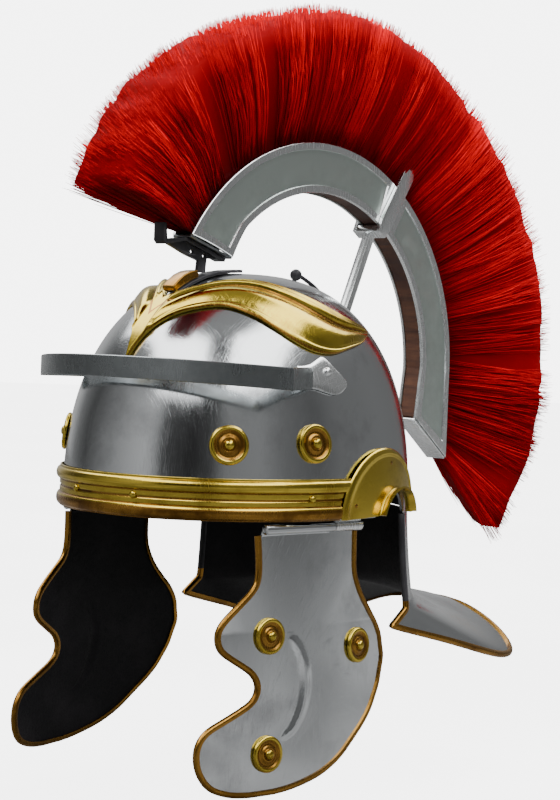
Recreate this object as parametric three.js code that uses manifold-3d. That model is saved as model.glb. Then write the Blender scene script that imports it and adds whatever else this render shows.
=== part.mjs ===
// A plumed Roman legionary helmet, worn on the head: a steel bowl with a brass-edged neck guard,
// a brass rim band and brow plate, a steel brow guard, two hinged cheek guards, and a steel crest
// box on a hook and a fork that holds a fan of red plume.
// Lengths are in millimetres and angles in degrees. The wearer faces -Y and their left is +X.
// While the pieces are made, height zero is the bottom of the rim; the last lines move the whole
// so that the origin is the inside of the crown, where the head meets it.
import * as THREE from 'three';
import { mergeVertices } from 'three/addons/utils/BufferGeometryUtils.js';
import Module from 'manifold-3d';

const wasm = await Module();
wasm.setup();

// Clearance between flat pieces that lie on each other, between pieces that follow the bowl's
// curve, and inside the rolled edgings
const seatGap = 0.3;
const curvedSeatGap = 0.6;
const edgingGap = 0.8;

// Bowl
const bowlHalfWidth = 100;
const bowlHalfLength = 121;
const bowlHeight = 150;
const bowlWall = 1.6;
const bowlPlanSquareness = 2.1;
const bowlSideSquareness = 2.42;

// Arched opening for the ear, between the bowl's side and the nape wall
const earArchRadius = 21;
const earArchY = 40;
const earArchDrop = 5;

// Nape wall and neck guard, one sheet
const napeDepth = 56;
const napeSideExtra = 6;
const napeFlare = 5;
const neckGuardReach = 87;
const neckGuardOverhang = 6;
const neckGuardHalfWidth = bowlHalfWidth + neckGuardOverhang;
const neckGuardFrontTuck = 7;
const neckGuardFrontHalfWidth = bowlHalfWidth - neckGuardFrontTuck;
const neckGuardFrontInset = 14;
const neckGuardFrontDrop = 16;
const neckGuardRearDrop = 16;
const neckGuardCamber = 46;
const neckGuardSquareness = 5;

// Rolled brass edging of the neck guard and the cheek guards
const edgingLip = 1.8;
const edgingSheet = 0.8;

// Rim band
const bandHeight = 25.4;
const bandSheet = 1.2;
const bandRib = 2.2;
const bandRearY = -2;
const bandRivetRadius = 2.4;

// Ear guards
const earGuardHeight = 42;
const earGuardHalfLength = 44;
const earGuardY = 27;
const earGuardSheet = 1.4;
const earFlangeReach = 9;
const earRivetRadius = 2.2;

// Brow plate
const browPlateSheet = 1.4;
const browPlateRelief = 3;
const browPlateSeat = 1;

// Brow guard, a strip that stands off the front of the bowl
const browGuardHalfWidth = 108;
const browGuardCreaseY = -76;
const browGuardBulge = 40;
const browGuardSheet = 3;
const browGuardHeight = 13.4;
const browGuardZ = 79.2;
const browGuardRise = 3;
const browTabSheet = 1.8;
const browRivetRadius = 2.8;

// Rosettes on the bowl and the cheek guards
const bowlRosetteRadius = 12;
const cheekRosetteRadius = 11;
const rosetteHeight = 5.2;

// Hinges of the cheek guards
const hingeTuck = 5;
const hingeX = bowlHalfWidth - hingeTuck;
const hingeTurn = 6.4;
const hingeDrop = 4.4;
const hingeFrontY = -71;
const hingeSeamY = -15;
const hingeRearY = 8;
const knuckleRadius = 3;
const pinRadius = 1.4;
const pinClearance = 0.35;
const leafFrontY = -34;
const leafHeight = 12;
const leafSheet = 1.2;
const leafSeat = 1.4;

// Cheek guards, measured down from the hinge axis
const cheekLength = 156;
const cheekWidth = 109;
const cheekSheet = 1.5;
const cheekFlare = 11;
const cheekInset = 4.2;
const cheekCurl = 5;
const cheekTopGap = 0.7;

// Crest box, an arc with a straight tail behind
const crestCentreY = 65;
const crestCentreDrop = 58.5;
const crestCentreZ = bowlHeight - crestCentreDrop;
const crestRadius = 149;
const crestDepth = 33;
const crestTail = 64.5;
const crestTailSlant = 29;
const crestTailInset = 5;
const crestWidth = 16;
const crestPlate = 1.4;
const crestHem = 4.6;
const crestHemRise = 1;
const crestFrontAngle = 147.4;
const crestFrontSlant = 5.2;
const crestFrontExtra = 5;
const coreDepth = 21;

// Fork between the bowl and the crest box
const forkAngle = 57;
const forkProngWidth = 12;
const forkProngSheet = 2.5;
const forkOverhang = 19;
const forkYokeDepth = 5;
const forkYokeGap = 1;
const forkFootY = 92;
const forkFootRadius = 6;
const forkFootSheet = 2;
const forkStemWidth = 7;
const forkStemDepth = 5;

// Front hook, its seat on the crown, and the knobbed hook behind the crown
const crownStripFrontY = -66;
const crownStripRearY = -10;
const crownStripHalfWidth = 6;
const crownStripSheet = 2;
const socketHeight = 6;
const socketHalfWidth = 5;
const socketFrontY = -68;
const socketRearY = -48;
const hookWidth = 9;
const hookWeb = 3;
const hookSheet = 2.2;
const hookLipY = -81;
const hookLipHeight = 11;
const hookHoleRadius = 1.8;
const rearHookFootY = 81;
const rearHookKnobY = 49;
const rearHookKnobLift = 9;
const rearHookKnobRadius = 4;
const rearHookWire = 1.5;

// Plume
const plumeLocks = 17;
const plumeHalfWidth = 30;
const plumeLength = 124;

const steel = { color: 0x9ba0a3, roughness: 0.25, metalness: 1 };
const satinSteel = { color: 0x96a49b, roughness: 0.45, metalness: 1 };
const darkSteel = { color: 0x5e6463, roughness: 0.4, metalness: 1 };
const brass = { color: 0xc99a35, roughness: 0.3, metalness: 1 };
const iron = { color: 0x151417, roughness: 0.5, metalness: 0.6 };
const stainedWood = { color: 0x4d2a1d, roughness: 0.7, metalness: 0 };
const redHair = { color: 0xb30610, roughness: 0.8, metalness: 0 };

const helmet = new THREE.Group();

function addPiece(name, finish, geometry, parent = helmet) {
  geometry.computeVertexNormals();
  const mesh = new THREE.Mesh(geometry, new THREE.MeshStandardMaterial(finish));
  mesh.name = name;
  parent.add(mesh);
  return mesh;
}

// Geometry tools

function vec(x, y, z) {
  return new THREE.Vector3(x, y, z);
}

function mix(a, b, share) {
  return a + (b - a) * share;
}

function radians(degrees) {
  return degrees * Math.PI / 180;
}

function signedPower(value, power) {
  return Math.sign(value) * Math.abs(value) ** power;
}

// Value of a column of a table at a place along its first column, straight between the rows
function tableValue(table, key, at, column) {
  for (let i = 1; i < table.length; i += 1) {
    const before = table[i - 1];
    const after = table[i];
    if (at <= after[key] || i === table.length - 1) {
      const share = (at - before[key]) / (after[key] - before[key]);
      return mix(before[column], after[column], Math.min(1, Math.max(0, share)));
    }
  }
  return table[0][column];
}

// Geometry with shared corners and no triangle of zero area, its faces pointing out
function closedGeometry(points, triangles) {
  const raw = new THREE.BufferGeometry();
  raw.setAttribute('position', new THREE.Float32BufferAttribute(points.flatMap((p) => [p.x, p.y, p.z]), 3));
  raw.setIndex(triangles.flat());
  const merged = mergeVertices(raw, 1e-3);
  const corners = merged.index.array;
  const kept = [];
  for (let i = 0; i < corners.length; i += 3) {
    const [a, b, c] = [corners[i], corners[i + 1], corners[i + 2]];
    if (a !== b && b !== c && c !== a) {
      kept.push(a, b, c);
    }
  }
  merged.setIndex(kept);
  return facingOut(merged);
}

function facingOut(geometry) {
  const place = geometry.attributes.position;
  const corners = Array.from(geometry.index.array);
  const [a, b, c] = [vec(0, 0, 0), vec(0, 0, 0), vec(0, 0, 0)];
  let volume = 0;
  for (let i = 0; i < corners.length; i += 3) {
    a.fromBufferAttribute(place, corners[i]);
    b.fromBufferAttribute(place, corners[i + 1]);
    c.fromBufferAttribute(place, corners[i + 2]);
    volume += a.dot(b.cross(c));
  }
  if (volume < 0) {
    for (let i = 0; i < corners.length; i += 3) {
      [corners[i + 1], corners[i + 2]] = [corners[i + 2], corners[i + 1]];
    }
    geometry.setIndex(corners);
  }
  return geometry;
}

function mirrored(geometry) {
  const copy = geometry.clone();
  copy.applyMatrix4(new THREE.Matrix4().makeScale(-1, 1, 1));
  return facingOut(copy);
}

function toSolid(geometry) {
  const bare = geometry.clone();
  bare.deleteAttribute('normal');
  bare.deleteAttribute('uv');
  const merged = mergeVertices(bare, 1e-3);
  const mesh = new wasm.Mesh({
    numProp: 3,
    vertProperties: new Float32Array(merged.attributes.position.array),
    triVerts: new Uint32Array(merged.index.array),
  });
  return new wasm.Manifold(mesh);
}

function fromSolid(solid) {
  const mesh = solid.getMesh();
  const geometry = new THREE.BufferGeometry();
  geometry.setAttribute('position', new THREE.BufferAttribute(new Float32Array(mesh.vertProperties), 3));
  geometry.setIndex(Array.from(mesh.triVerts));
  return geometry;
}

function fused(...geometries) {
  return fromSolid(geometries.map(toSolid).reduce((whole, piece) => whole.add(piece)));
}

// Takes the cutters away and keeps the largest of what is left
function cutAway(geometry, ...cutters) {
  const left = cutters.map(toSolid).reduce((whole, cutter) => whole.subtract(cutter), toSolid(geometry));
  const bodies = left.decompose();
  return fromSolid(bodies.reduce((best, body) => (body.volume() > best.volume() ? body : best)));
}

// A closed sheet from a grid of points on its face and a grid on its back
function sheet(face, back, closesRound = false) {
  const rows = face.length;
  const columns = face[0].length;
  const points = [...face.flat(), ...back.flat()];
  const triangles = [];
  const faceAt = (r, c) => r * columns + (c % columns);
  const backAt = (r, c) => rows * columns + faceAt(r, c);
  const quad = (a, b, c, d) => triangles.push([a, b, c], [a, c, d]);
  const steps = closesRound ? columns : columns - 1;
  for (let r = 0; r < rows - 1; r += 1) {
    for (let c = 0; c < steps; c += 1) {
      quad(faceAt(r, c), faceAt(r, c + 1), faceAt(r + 1, c + 1), faceAt(r + 1, c));
      quad(backAt(r, c), backAt(r + 1, c), backAt(r + 1, c + 1), backAt(r, c + 1));
    }
  }
  for (let c = 0; c < steps; c += 1) {
    quad(faceAt(0, c), backAt(0, c), backAt(0, c + 1), faceAt(0, c + 1));
    quad(faceAt(rows - 1, c), faceAt(rows - 1, c + 1), backAt(rows - 1, c + 1), backAt(rows - 1, c));
  }
  if (!closesRound) {
    for (let r = 0; r < rows - 1; r += 1) {
      quad(faceAt(r, 0), faceAt(r + 1, 0), backAt(r + 1, 0), backAt(r, 0));
      quad(faceAt(r, steps), backAt(r, steps), backAt(r + 1, steps), faceAt(r + 1, steps));
    }
  }
  return closedGeometry(points, triangles);
}

function grid(rows, columns, pointAt) {
  return Array.from({ length: rows }, (_, r) => Array.from({ length: columns }, (_, c) => pointAt(r, c)));
}

// The grid moved square to its own surface, on the side that the sign of the distance gives
function shifted(face, distance) {
  const rows = face.length;
  const columns = face[0].length;
  return grid(rows, columns, (r, c) => {
    const along = face[r][Math.min(c + 1, columns - 1)].clone().sub(face[r][Math.max(c - 1, 0)]);
    const down = face[Math.min(r + 1, rows - 1)][c].clone().sub(face[Math.max(r - 1, 0)][c]);
    return face[r][c].clone().addScaledVector(along.cross(down).normalize(), distance);
  });
}

// A flat section carried along frames, each with an origin and two directions
function swept(section, frames, closesRound = false) {
  const size = section.length;
  const points = frames.flatMap((f) => section.map(([u, v]) => (
    f.origin.clone().addScaledVector(f.across, u).addScaledVector(f.up, v)
  )));
  const triangles = [];
  const count = closesRound ? frames.length : frames.length - 1;
  for (let i = 0; i < count; i += 1) {
    const next = (i + 1) % frames.length;
    for (let k = 0; k < size; k += 1) {
      const [a, b] = [i * size + k, i * size + (k + 1) % size];
      const [c, d] = [next * size + (k + 1) % size, next * size + k];
      triangles.push([a, b, c], [a, c, d]);
    }
  }
  if (!closesRound) {
    const flat = section.map(([u, v]) => new THREE.Vector2(u, v));
    const turned = THREE.ShapeUtils.isClockWise(flat);
    const last = (frames.length - 1) * size;
    for (const [a, b, c] of THREE.ShapeUtils.triangulateShape(flat, [])) {
      const face = turned ? [a, b, c] : [a, c, b];
      triangles.push(face);
      triangles.push([last + face[0], last + face[2], last + face[1]]);
    }
    if (turned) {
      return closedGeometry(points, triangles.map(([a, b, c], i) => (
        i < count * size * 2 ? [a, c, b] : [a, c, b]
      )));
    }
  }
  return closedGeometry(points, triangles);
}

// A prism of an outline in the YZ plane, from one x to another, with holes
function prismAcross(outline, fromX, toX, holes = []) {
  const corners = outline.map(([y, z]) => new THREE.Vector2(y, z));
  if (THREE.ShapeUtils.isClockWise(corners)) {
    corners.reverse();
  }
  const shape = new THREE.Shape(corners);
  shape.holes = holes.map((hole) => new THREE.Path(hole.map(([y, z]) => new THREE.Vector2(y, z))));
  const body = new THREE.ExtrudeGeometry(shape, { depth: toX - fromX, bevelEnabled: false });
  body.applyMatrix4(new THREE.Matrix4().makeBasis(vec(0, 1, 0), vec(0, 0, 1), vec(1, 0, 0)));
  body.translate(fromX, 0, 0);
  body.deleteAttribute('normal');
  body.deleteAttribute('uv');
  return facingOut(mergeVertices(body, 1e-3));
}

function circlePoints(centreY, centreZ, radius, sides) {
  return Array.from({ length: sides }, (_, i) => {
    const turn = 2 * Math.PI * i / sides;
    return [centreY + radius * Math.cos(turn), centreZ + radius * Math.sin(turn)];
  });
}

// Turned piece with its base at height zero
function turnedPiece(profile, sides) {
  const body = new THREE.LatheGeometry(profile.map(([r, h]) => new THREE.Vector2(r, h)), sides);
  body.rotateX(Math.PI / 2);
  const place = body.attributes.position;
  const points = Array.from({ length: place.count }, (_, i) => vec(0, 0, 0).fromBufferAttribute(place, i));
  const corners = Array.from(body.index.array);
  const triangles = [];
  for (let i = 0; i < corners.length; i += 3) {
    triangles.push(corners.slice(i, i + 3));
  }
  return closedGeometry(points, triangles);
}

// Places a turned piece with its base on a point and its axis along a direction
function stand(mesh, point, direction) {
  mesh.position.copy(point);
  mesh.quaternion.setFromUnitVectors(vec(0, 0, 1), direction.clone().normalize());
}

// The bowl's outer surface

function planPoint(turn, share = 1) {
  const power = 2 / bowlPlanSquareness;
  return [
    bowlHalfWidth * share * signedPower(Math.cos(turn), power),
    bowlHalfLength * share * signedPower(Math.sin(turn), power),
  ];
}

// Share of the rim's outline that is left at a height
function planShare(z) {
  const lift = Math.min(1, Math.max(0, z / bowlHeight));
  return (1 - lift ** bowlSideSquareness) ** (1 / bowlSideSquareness);
}

function bowlNormal(x, y, z) {
  const m = bowlPlanSquareness;
  const n = bowlSideSquareness;
  const [a, b] = [Math.abs(x) / bowlHalfWidth, Math.abs(y) / bowlHalfLength];
  const spread = (a ** m + b ** m) ** (n / m - 1);
  const nx = spread * a ** (m - 1) / bowlHalfWidth * Math.sign(x);
  const ny = spread * b ** (m - 1) / bowlHalfLength * Math.sign(y);
  const nz = Math.max(0, z / bowlHeight) ** (n - 1) / bowlHeight;
  return Number.isFinite(nx + ny) && nx * nx + ny * ny + nz * nz > 0
    ? vec(nx, ny, nz).normalize() : vec(0, 0, 1);
}

function bowlRise(x, y) {
  const m = bowlPlanSquareness;
  const reach = ((Math.abs(x) / bowlHalfWidth) ** m + (Math.abs(y) / bowlHalfLength) ** m) ** (1 / m);
  return bowlHeight * (1 - Math.min(1, reach) ** bowlSideSquareness) ** (1 / bowlSideSquareness);
}

function bowlSide(y, z) {
  const m = bowlPlanSquareness;
  const share = planShare(z) ** m - (Math.abs(y) / bowlHalfLength) ** m;
  return bowlHalfWidth * Math.max(0, share) ** (1 / m);
}

// A point over the bowl, given from above or from the side, and a distance out from its surface
function overCrown(x, y, out) {
  const z = bowlRise(x, y);
  return vec(x, y, z).addScaledVector(bowlNormal(x, y, z), out);
}

function overSide(y, z, out) {
  const x = bowlSide(y, z);
  return vec(x, y, z).addScaledVector(bowlNormal(x, y, z), out);
}

// Bowl: an open shell with an arch cut in each side over the ear
function bowl() {
  const around = 30;
  const rings = 8;
  const face = grid(rings + 1, around, (r, c) => {
    const lift = Math.PI / 2 * (r / rings) ** 0.9;
    const share = Math.max(0, Math.cos(lift)) ** (2 / bowlSideSquareness);
    const [x, y] = planPoint(2 * Math.PI * (c + 0.5) / around, r === rings ? 0 : share);
    return vec(x, y, bowlHeight * Math.sin(lift) ** (2 / bowlSideSquareness));
  });
  const inner = face.map((row) => row.map((p) => p.clone().addScaledVector(bowlNormal(p.x, p.y, p.z), -bowlWall)));
  const arch = circlePoints(earArchY, -earArchDrop, earArchRadius, 24);
  const cutter = prismAcross(arch, -bowlHalfWidth * 1.5, bowlHalfWidth * 1.5);
  return cutAway(sheet(face, inner, true), cutter);
}

// Nape wall and neck guard: one sheet that hangs from the bowl's rim and flares out
const napeEdgeY = earArchY + earArchRadius;
const neckColumns = 18;
const neckWallRows = [
  { share: 0, flare: 0 },
  { share: 0.35, flare: 0.2 },
  { share: 0.75, flare: 0.7 },
  { share: 1, flare: 1.1 },
];
const neckFlangeShares = [0.1, 0.5, 1];

function neckWallPoint(turn, row) {
  const [x, y] = planPoint(turn);
  const out = bowlNormal(x, y, 0);
  const depth = napeDepth + napeSideExtra * Math.abs(Math.cos(turn)) ** 2;
  const z = -2 * seatGap - (depth - 2 * seatGap) * row.share;
  return vec(x, y, z).addScaledVector(out, napeFlare * row.flare);
}

function neckRimPoint(share) {
  const turn = Math.PI * share;
  const power = 2 / neckGuardSquareness;
  const back = Math.abs(Math.sin(turn)) ** power;
  const frontY = napeEdgeY - neckGuardFrontInset;
  const y = mix(frontY, bowlHalfLength + neckGuardReach, back);
  const x = mix(neckGuardFrontHalfWidth, neckGuardHalfWidth, back) * signedPower(Math.cos(turn), power);
  const camber = neckGuardCamber * back * (x / neckGuardHalfWidth) ** 2;
  const drop = napeDepth + mix(neckGuardFrontDrop, neckGuardRearDrop, back) + camber;
  return vec(x, y, -drop);
}

function neckGrid() {
  const firstTurn = Math.asin((napeEdgeY / bowlHalfLength) ** (bowlPlanSquareness / 2));
  const rows = neckWallRows.length + neckFlangeShares.length;
  return grid(rows, neckColumns + 1, (r, c) => {
    const share = c / neckColumns;
    const turn = mix(firstTurn, Math.PI - firstTurn, share);
    if (r < neckWallRows.length) {
      return neckWallPoint(turn, neckWallRows[r]);
    }
    const foot = neckWallPoint(turn, neckWallRows[neckWallRows.length - 1]);
    return foot.lerp(neckRimPoint(share), neckFlangeShares[r - neckWallRows.length]);
  });
}

// A rolled edging, open along one side, that grips the border of a sheet
function edging(facePath, backPath, sheetWall) {
  const half = sheetWall / 2 + edgingGap;
  const outer = half + edgingSheet;
  const section = [
    [-edgingLip, -half],
    [edgingGap, -half],
    [edgingGap, half],
    [-edgingLip, half],
    [-edgingLip, outer],
    [edgingGap + edgingSheet, outer * 0.6],
    [edgingGap + edgingSheet, -outer * 0.6],
    [-edgingLip, -outer],
  ];
  const frames = facePath.map((point, i) => {
    const middle = (k) => facePath[k].clone().add(backPath[k]).multiplyScalar(0.5);
    const [last, next] = [Math.max(0, i - 1), Math.min(facePath.length - 1, i + 1)];
    const before = middle(i).sub(middle(last)).normalize();
    const after = middle(next).sub(middle(i)).normalize();
    const along = before.clone().add(after).normalize();
    const up = point.clone().sub(backPath[i]).normalize();
    const mitre = Math.max(0.6, along.dot(next === i ? before : after));
    const across = along.cross(up).normalize().multiplyScalar(1 / mitre);
    return { origin: middle(i), across, up };
  });
  return swept(section, frames);
}

// The border of a sheet's grid: down its first column, along its last row and up its last column
function borderOf(gridPoints) {
  const rows = gridPoints.length;
  const first = gridPoints.map((row) => row[0]);
  const last = gridPoints.map((row) => row[row.length - 1]);
  return [...first.slice(0, rows - 1), ...gridPoints[rows - 1], ...last.slice(0, rows - 1).reverse()];
}

// Rim band: a ribbed brass strip round the front, cut to the ear guards' outline
function rimBand() {
  const stations = 26;
  const low = curvedSeatGap;
  const flat = curvedSeatGap + bandSheet;
  const section = [
    [low, 0],
    [flat, 0],
    [flat + bandRib, bandHeight * 0.1],
    [flat + bandRib, bandHeight * 0.26],
    [flat, bandHeight * 0.4],
    [flat, bandHeight * 0.65],
    [flat + bandRib, bandHeight * 0.76],
    [flat + bandRib, bandHeight * 0.88],
    [flat, bandHeight],
    [low, bandHeight],
  ];
  const endTurn = Math.asin((Math.abs(bandRearY) / bowlHalfLength) ** (bowlPlanSquareness / 2));
  const frames = Array.from({ length: stations + 1 }, (_, i) => {
    const [x, y] = planPoint(mix(-endTurn, endTurn - Math.PI, i / stations));
    return { origin: vec(x, y, 0), across: bowlNormal(x, y, 0), up: vec(0, 0, 1) };
  });
  const grown = earGuardOutline(3 * seatGap);
  const cutter = prismAcross(grown, -bowlHalfWidth * 1.5, bowlHalfWidth * 1.5);
  return cutAway(swept(section, frames), cutter);
}

// Ear guards

function earGuardTop(y) {
  const share = (y - earGuardY) / earGuardHalfLength;
  return earGuardHeight * Math.sqrt(Math.max(0, 1 - share * share));
}

function earGuardOutline(grow) {
  const points = [];
  const steps = 14;
  for (let i = 0; i <= steps; i += 1) {
    const turn = Math.PI * i / steps;
    const y = earGuardY - (earGuardHalfLength + grow) * Math.cos(turn);
    points.push([y, (earGuardHeight + grow) * Math.sin(turn)]);
  }
  const below = -bandHeight;
  return [[earGuardY + earGuardHalfLength + grow, below], [earGuardY - earGuardHalfLength - grow, below], ...points];
}

function earGuard() {
  const archFrom = earArchY - Math.sqrt(earArchRadius ** 2 - earArchDrop ** 2);
  const archTo = earArchY + Math.sqrt(earArchRadius ** 2 - earArchDrop ** 2);
  const front = earGuardY - earGuardHalfLength;
  const columns = [
    front + 0.4, mix(front, archFrom, 0.12), mix(front, archFrom, 0.35), mix(front, archFrom, 0.7), archFrom,
    mix(archFrom, archTo, 0.1), mix(archFrom, archTo, 0.28), mix(archFrom, archTo, 0.5),
    mix(archFrom, archTo, 0.72), mix(archFrom, archTo, 0.9), archTo,
  ];
  const low = (y) => {
    const reach = earArchRadius ** 2 - (y - earArchY) ** 2;
    return reach > earArchDrop ** 2 ? Math.sqrt(reach) - earArchDrop : 0;
  };
  const place = (out) => grid(4, columns.length, (r, c) => {
    const y = columns[c];
    return overSide(y, mix(low(y), earGuardTop(y), r / 3), out);
  });
  const plate = sheet(place(curvedSeatGap + earGuardSheet), place(curvedSeatGap));
  const firstTurn = Math.asin(earArchDrop / earArchRadius) + 0.06;
  const frames = Array.from({ length: 10 }, (_, i) => {
    const turn = mix(Math.PI - firstTurn, firstTurn, i / 9);
    const y = earArchY + earArchRadius * Math.cos(turn);
    const z = -earArchDrop + earArchRadius * Math.sin(turn);
    const x = bowlSide(y, z);
    const across = bowlNormal(x, y, z);
    const up = vec(0, Math.cos(turn), Math.sin(turn));
    up.addScaledVector(across, -up.dot(across)).normalize();
    return { origin: vec(x, y, z), across, up };
  });
  const section = [
    [curvedSeatGap, 0],
    [earFlangeReach, 0],
    [earFlangeReach, earGuardSheet],
    [curvedSeatGap, earGuardSheet],
  ];
  return fused(plate, swept(section, frames));
}

// Brow plate: a raised brass plate of two brows that meet in a point over the forehead.
// Places are shares of the bowl's half width and half length.
const browStations = [
  { lowX: 0, lowY: -0.862, highX: 0, highY: -0.6 },
  { lowX: 0.06, lowY: -0.772, highX: 0.07, highY: -0.54 },
  { lowX: 0.16, lowY: -0.684, highX: 0.17, highY: -0.435 },
  { lowX: 0.28, lowY: -0.6, highX: 0.27, highY: -0.3 },
  { lowX: 0.4, lowY: -0.512, highX: 0.38, highY: -0.19 },
  { lowX: 0.54, lowY: -0.436, highX: 0.5, highY: -0.085 },
  { lowX: 0.65, lowY: -0.37, highX: 0.575, highY: 0.005 },
  { lowX: 0.745, lowY: -0.284, highX: 0.62, highY: 0.08 },
  { lowX: 0.805, lowY: -0.17, highX: 0.65, highY: 0.16 },
  { lowX: 0.818, lowY: -0.02, highX: 0.66, highY: 0.24 },
  { lowX: 0.77, lowY: 0.19, highX: 0.65, highY: 0.32 },
  { lowX: 0.68, lowY: 0.345, highX: 0.645, highY: 0.37 },
];
const browRelief = [
  { across: 0, rise: 0 },
  { across: 0.14, rise: 0.55 },
  { across: 0.36, rise: 1 },
  { across: 0.58, rise: 0.55 },
  { across: 0.67, rise: 0.1 },
  { across: 0.84, rise: 0.8 },
  { across: 1, rise: 0 },
];

function browPlate() {
  const right = browStations.slice(1).reverse().map((s) => ({ ...s, lowX: -s.lowX, highX: -s.highX }));
  const stations = [...right, ...browStations];
  const place = (outAt) => grid(browRelief.length, stations.length, (r, c) => {
    const s = stations[c];
    const { across, rise } = browRelief[r];
    const x = bowlHalfWidth * mix(s.lowX, s.highX, across);
    const y = bowlHalfLength * mix(s.lowY, s.highY, across);
    return overCrown(x, y, outAt(rise));
  });
  const face = place((rise) => browPlateSeat + browPlateSheet + browPlateRelief * rise);
  return sheet(face, place(() => browPlateSeat));
}

// Brow guard: an upright strip bent round the front, with a tab on each temple
function browGuardPath() {
  const bend = vec(browGuardHalfWidth, browGuardCreaseY, 0);
  const radius = (browGuardHalfWidth ** 2 + browGuardBulge ** 2) / (2 * browGuardBulge);
  const sweepAngle = Math.asin(browGuardHalfWidth / radius);
  const steps = 14;
  const arc = Array.from({ length: steps + 1 }, (_, i) => {
    const turn = mix(sweepAngle, -sweepAngle, i / steps);
    const y = browGuardCreaseY - browGuardBulge + radius - radius * Math.cos(turn);
    const rise = browGuardRise * (1 - (turn / sweepAngle) ** 2);
    return vec(radius * Math.sin(turn), y, browGuardZ + rise);
  });
  const tabY = browTabStations[0].y * bowlHalfLength;
  const tabZ = browGuardZ + browGuardHeight / 2;
  const out = curvedSeatGap + browTabSheet + browGuardSheet / 2 + 0.6;
  const left = overSide(mix(tabY, browTabStations[1].y * bowlHalfLength, 0.35), tabZ, out).setZ(browGuardZ);
  const right = left.clone().setX(-left.x);
  return [left, bend.setZ(browGuardZ), ...arc.slice(1, steps), bend.clone().setX(-bend.x), right];
}

// Tab outline: y as shares of the bowl's half length, low and high as shares of the strip's height
const browTabStations = [
  { y: -0.32, low: 0.02, high: 0.97 },
  { y: -0.17, low: -0.2, high: 1.35 },
  { y: -0.1, low: -0.16, high: 0.91 },
  { y: -0.05, low: 0.08, high: 0.44 },
];

function browTab() {
  const place = (out) => grid(2, browTabStations.length, (r, c) => {
    const s = browTabStations[c];
    return overSide(s.y * bowlHalfLength, browGuardZ + browGuardHeight * mix(s.low, s.high, r), out);
  });
  return sheet(place(curvedSeatGap + browTabSheet), place(curvedSeatGap));
}

function browGuard() {
  const path = browGuardPath();
  const half = browGuardSheet / 2;
  const section = [
    [-half, 0],
    [half, 0],
    [half, browGuardHeight - half],
    [0, browGuardHeight],
    [-half, browGuardHeight],
  ];
  const frames = path.map((point, i) => {
    const before = path[Math.max(0, i - 1)];
    const after = path[Math.min(path.length - 1, i + 1)];
    const first = point.clone().sub(before).setZ(0).normalize();
    const second = after.clone().sub(point).setZ(0).normalize();
    const along = first.clone().add(second).normalize();
    const across = vec(-along.y, along.x, 0).negate();
    const mitre = Math.max(0.5, along.dot(i === 0 ? second : first));
    return { origin: point.clone(), across: across.multiplyScalar(1 / mitre), up: vec(0, 0, 1) };
  });
  const tab = browTab();
  return fused(swept(section, frames), tab, mirrored(tab));
}

// Rosettes and rivets

function rosette(radius) {
  return turnedPiece([
    [0, 0],
    [radius * 0.98, 0],
    [radius, rosetteHeight * 0.22],
    [radius * 0.8, rosetteHeight * 0.54],
    [radius * 0.55, rosetteHeight * 0.27],
    [radius * 0.38, rosetteHeight * 0.48],
    [0, rosetteHeight],
  ], 10);
}

function rivet(radius) {
  return turnedPiece([
    [0, 0],
    [radius, 0],
    [radius * 0.75, radius * 0.55],
    [0, radius * 0.8],
  ], 8);
}

function addOnSides(name, finish, geometry, point, normal, parents = [helmet, helmet]) {
  const left = addPiece(`${name}_left`, finish, geometry, parents[0]);
  stand(left, point, normal);
  const right = addPiece(`${name}_right`, finish, geometry.clone(), parents[1]);
  stand(right, vec(-point.x, point.y, point.z), vec(-normal.x, normal.y, normal.z));
}

// Hinges and cheek guards, made on the left side in the hinge's own frame: the origin is on the
// axis, +Y runs back along it, +X points out and the guard hangs down

function ring(fromY, toY, outer, inner, sides) {
  const circle = (radius) => circlePoints(0, 0, radius, sides);
  const holes = inner > 0 ? [circle(inner)] : [];
  const body = prismAcross(circle(outer), fromY, toY, holes);
  return body.applyMatrix4(new THREE.Matrix4().makeRotationZ(Math.PI / 2));
}

function knuckle(fromY, toY) {
  return ring(fromY, toY, knuckleRadius, pinRadius + pinClearance, 10);
}

function hingeMatrix() {
  const turn = new THREE.Matrix4().makeRotationZ(-radians(hingeTurn));
  return turn.setPosition(hingeX, 0, -hingeDrop);
}

function hingeLeaf() {
  const columns = 4;
  const place = (out) => grid(2, columns, (r, c) => {
    const y = mix(leafFrontY, hingeRearY, c / (columns - 1));
    return overSide(y, mix(1.2, leafHeight, r), out);
  });
  const leaf = sheet(place(-bowlWall - leafSeat), place(-bowlWall - leafSeat - leafSheet));
  const fixed = knuckle(hingeSeamY + seatGap, hingeRearY).applyMatrix4(hingeMatrix());
  const half = leafSheet / 2;
  const webSide = (offset) => grid(2, 2, (r, c) => {
    const y = mix(hingeSeamY + 2 * seatGap, hingeRearY - seatGap, c);
    const low = vec(0, y, knuckleRadius * 0.7).applyMatrix4(hingeMatrix());
    const high = overSide(low.y, 1.2 + leafSheet, -bowlWall - leafSeat - half);
    const point = r === 0 ? low : high;
    return point.add(vec(offset, 0, 0));
  });
  return fused(leaf, fixed, sheet(webSide(half * 0.9), webSide(-half * 0.9)));
}

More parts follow.
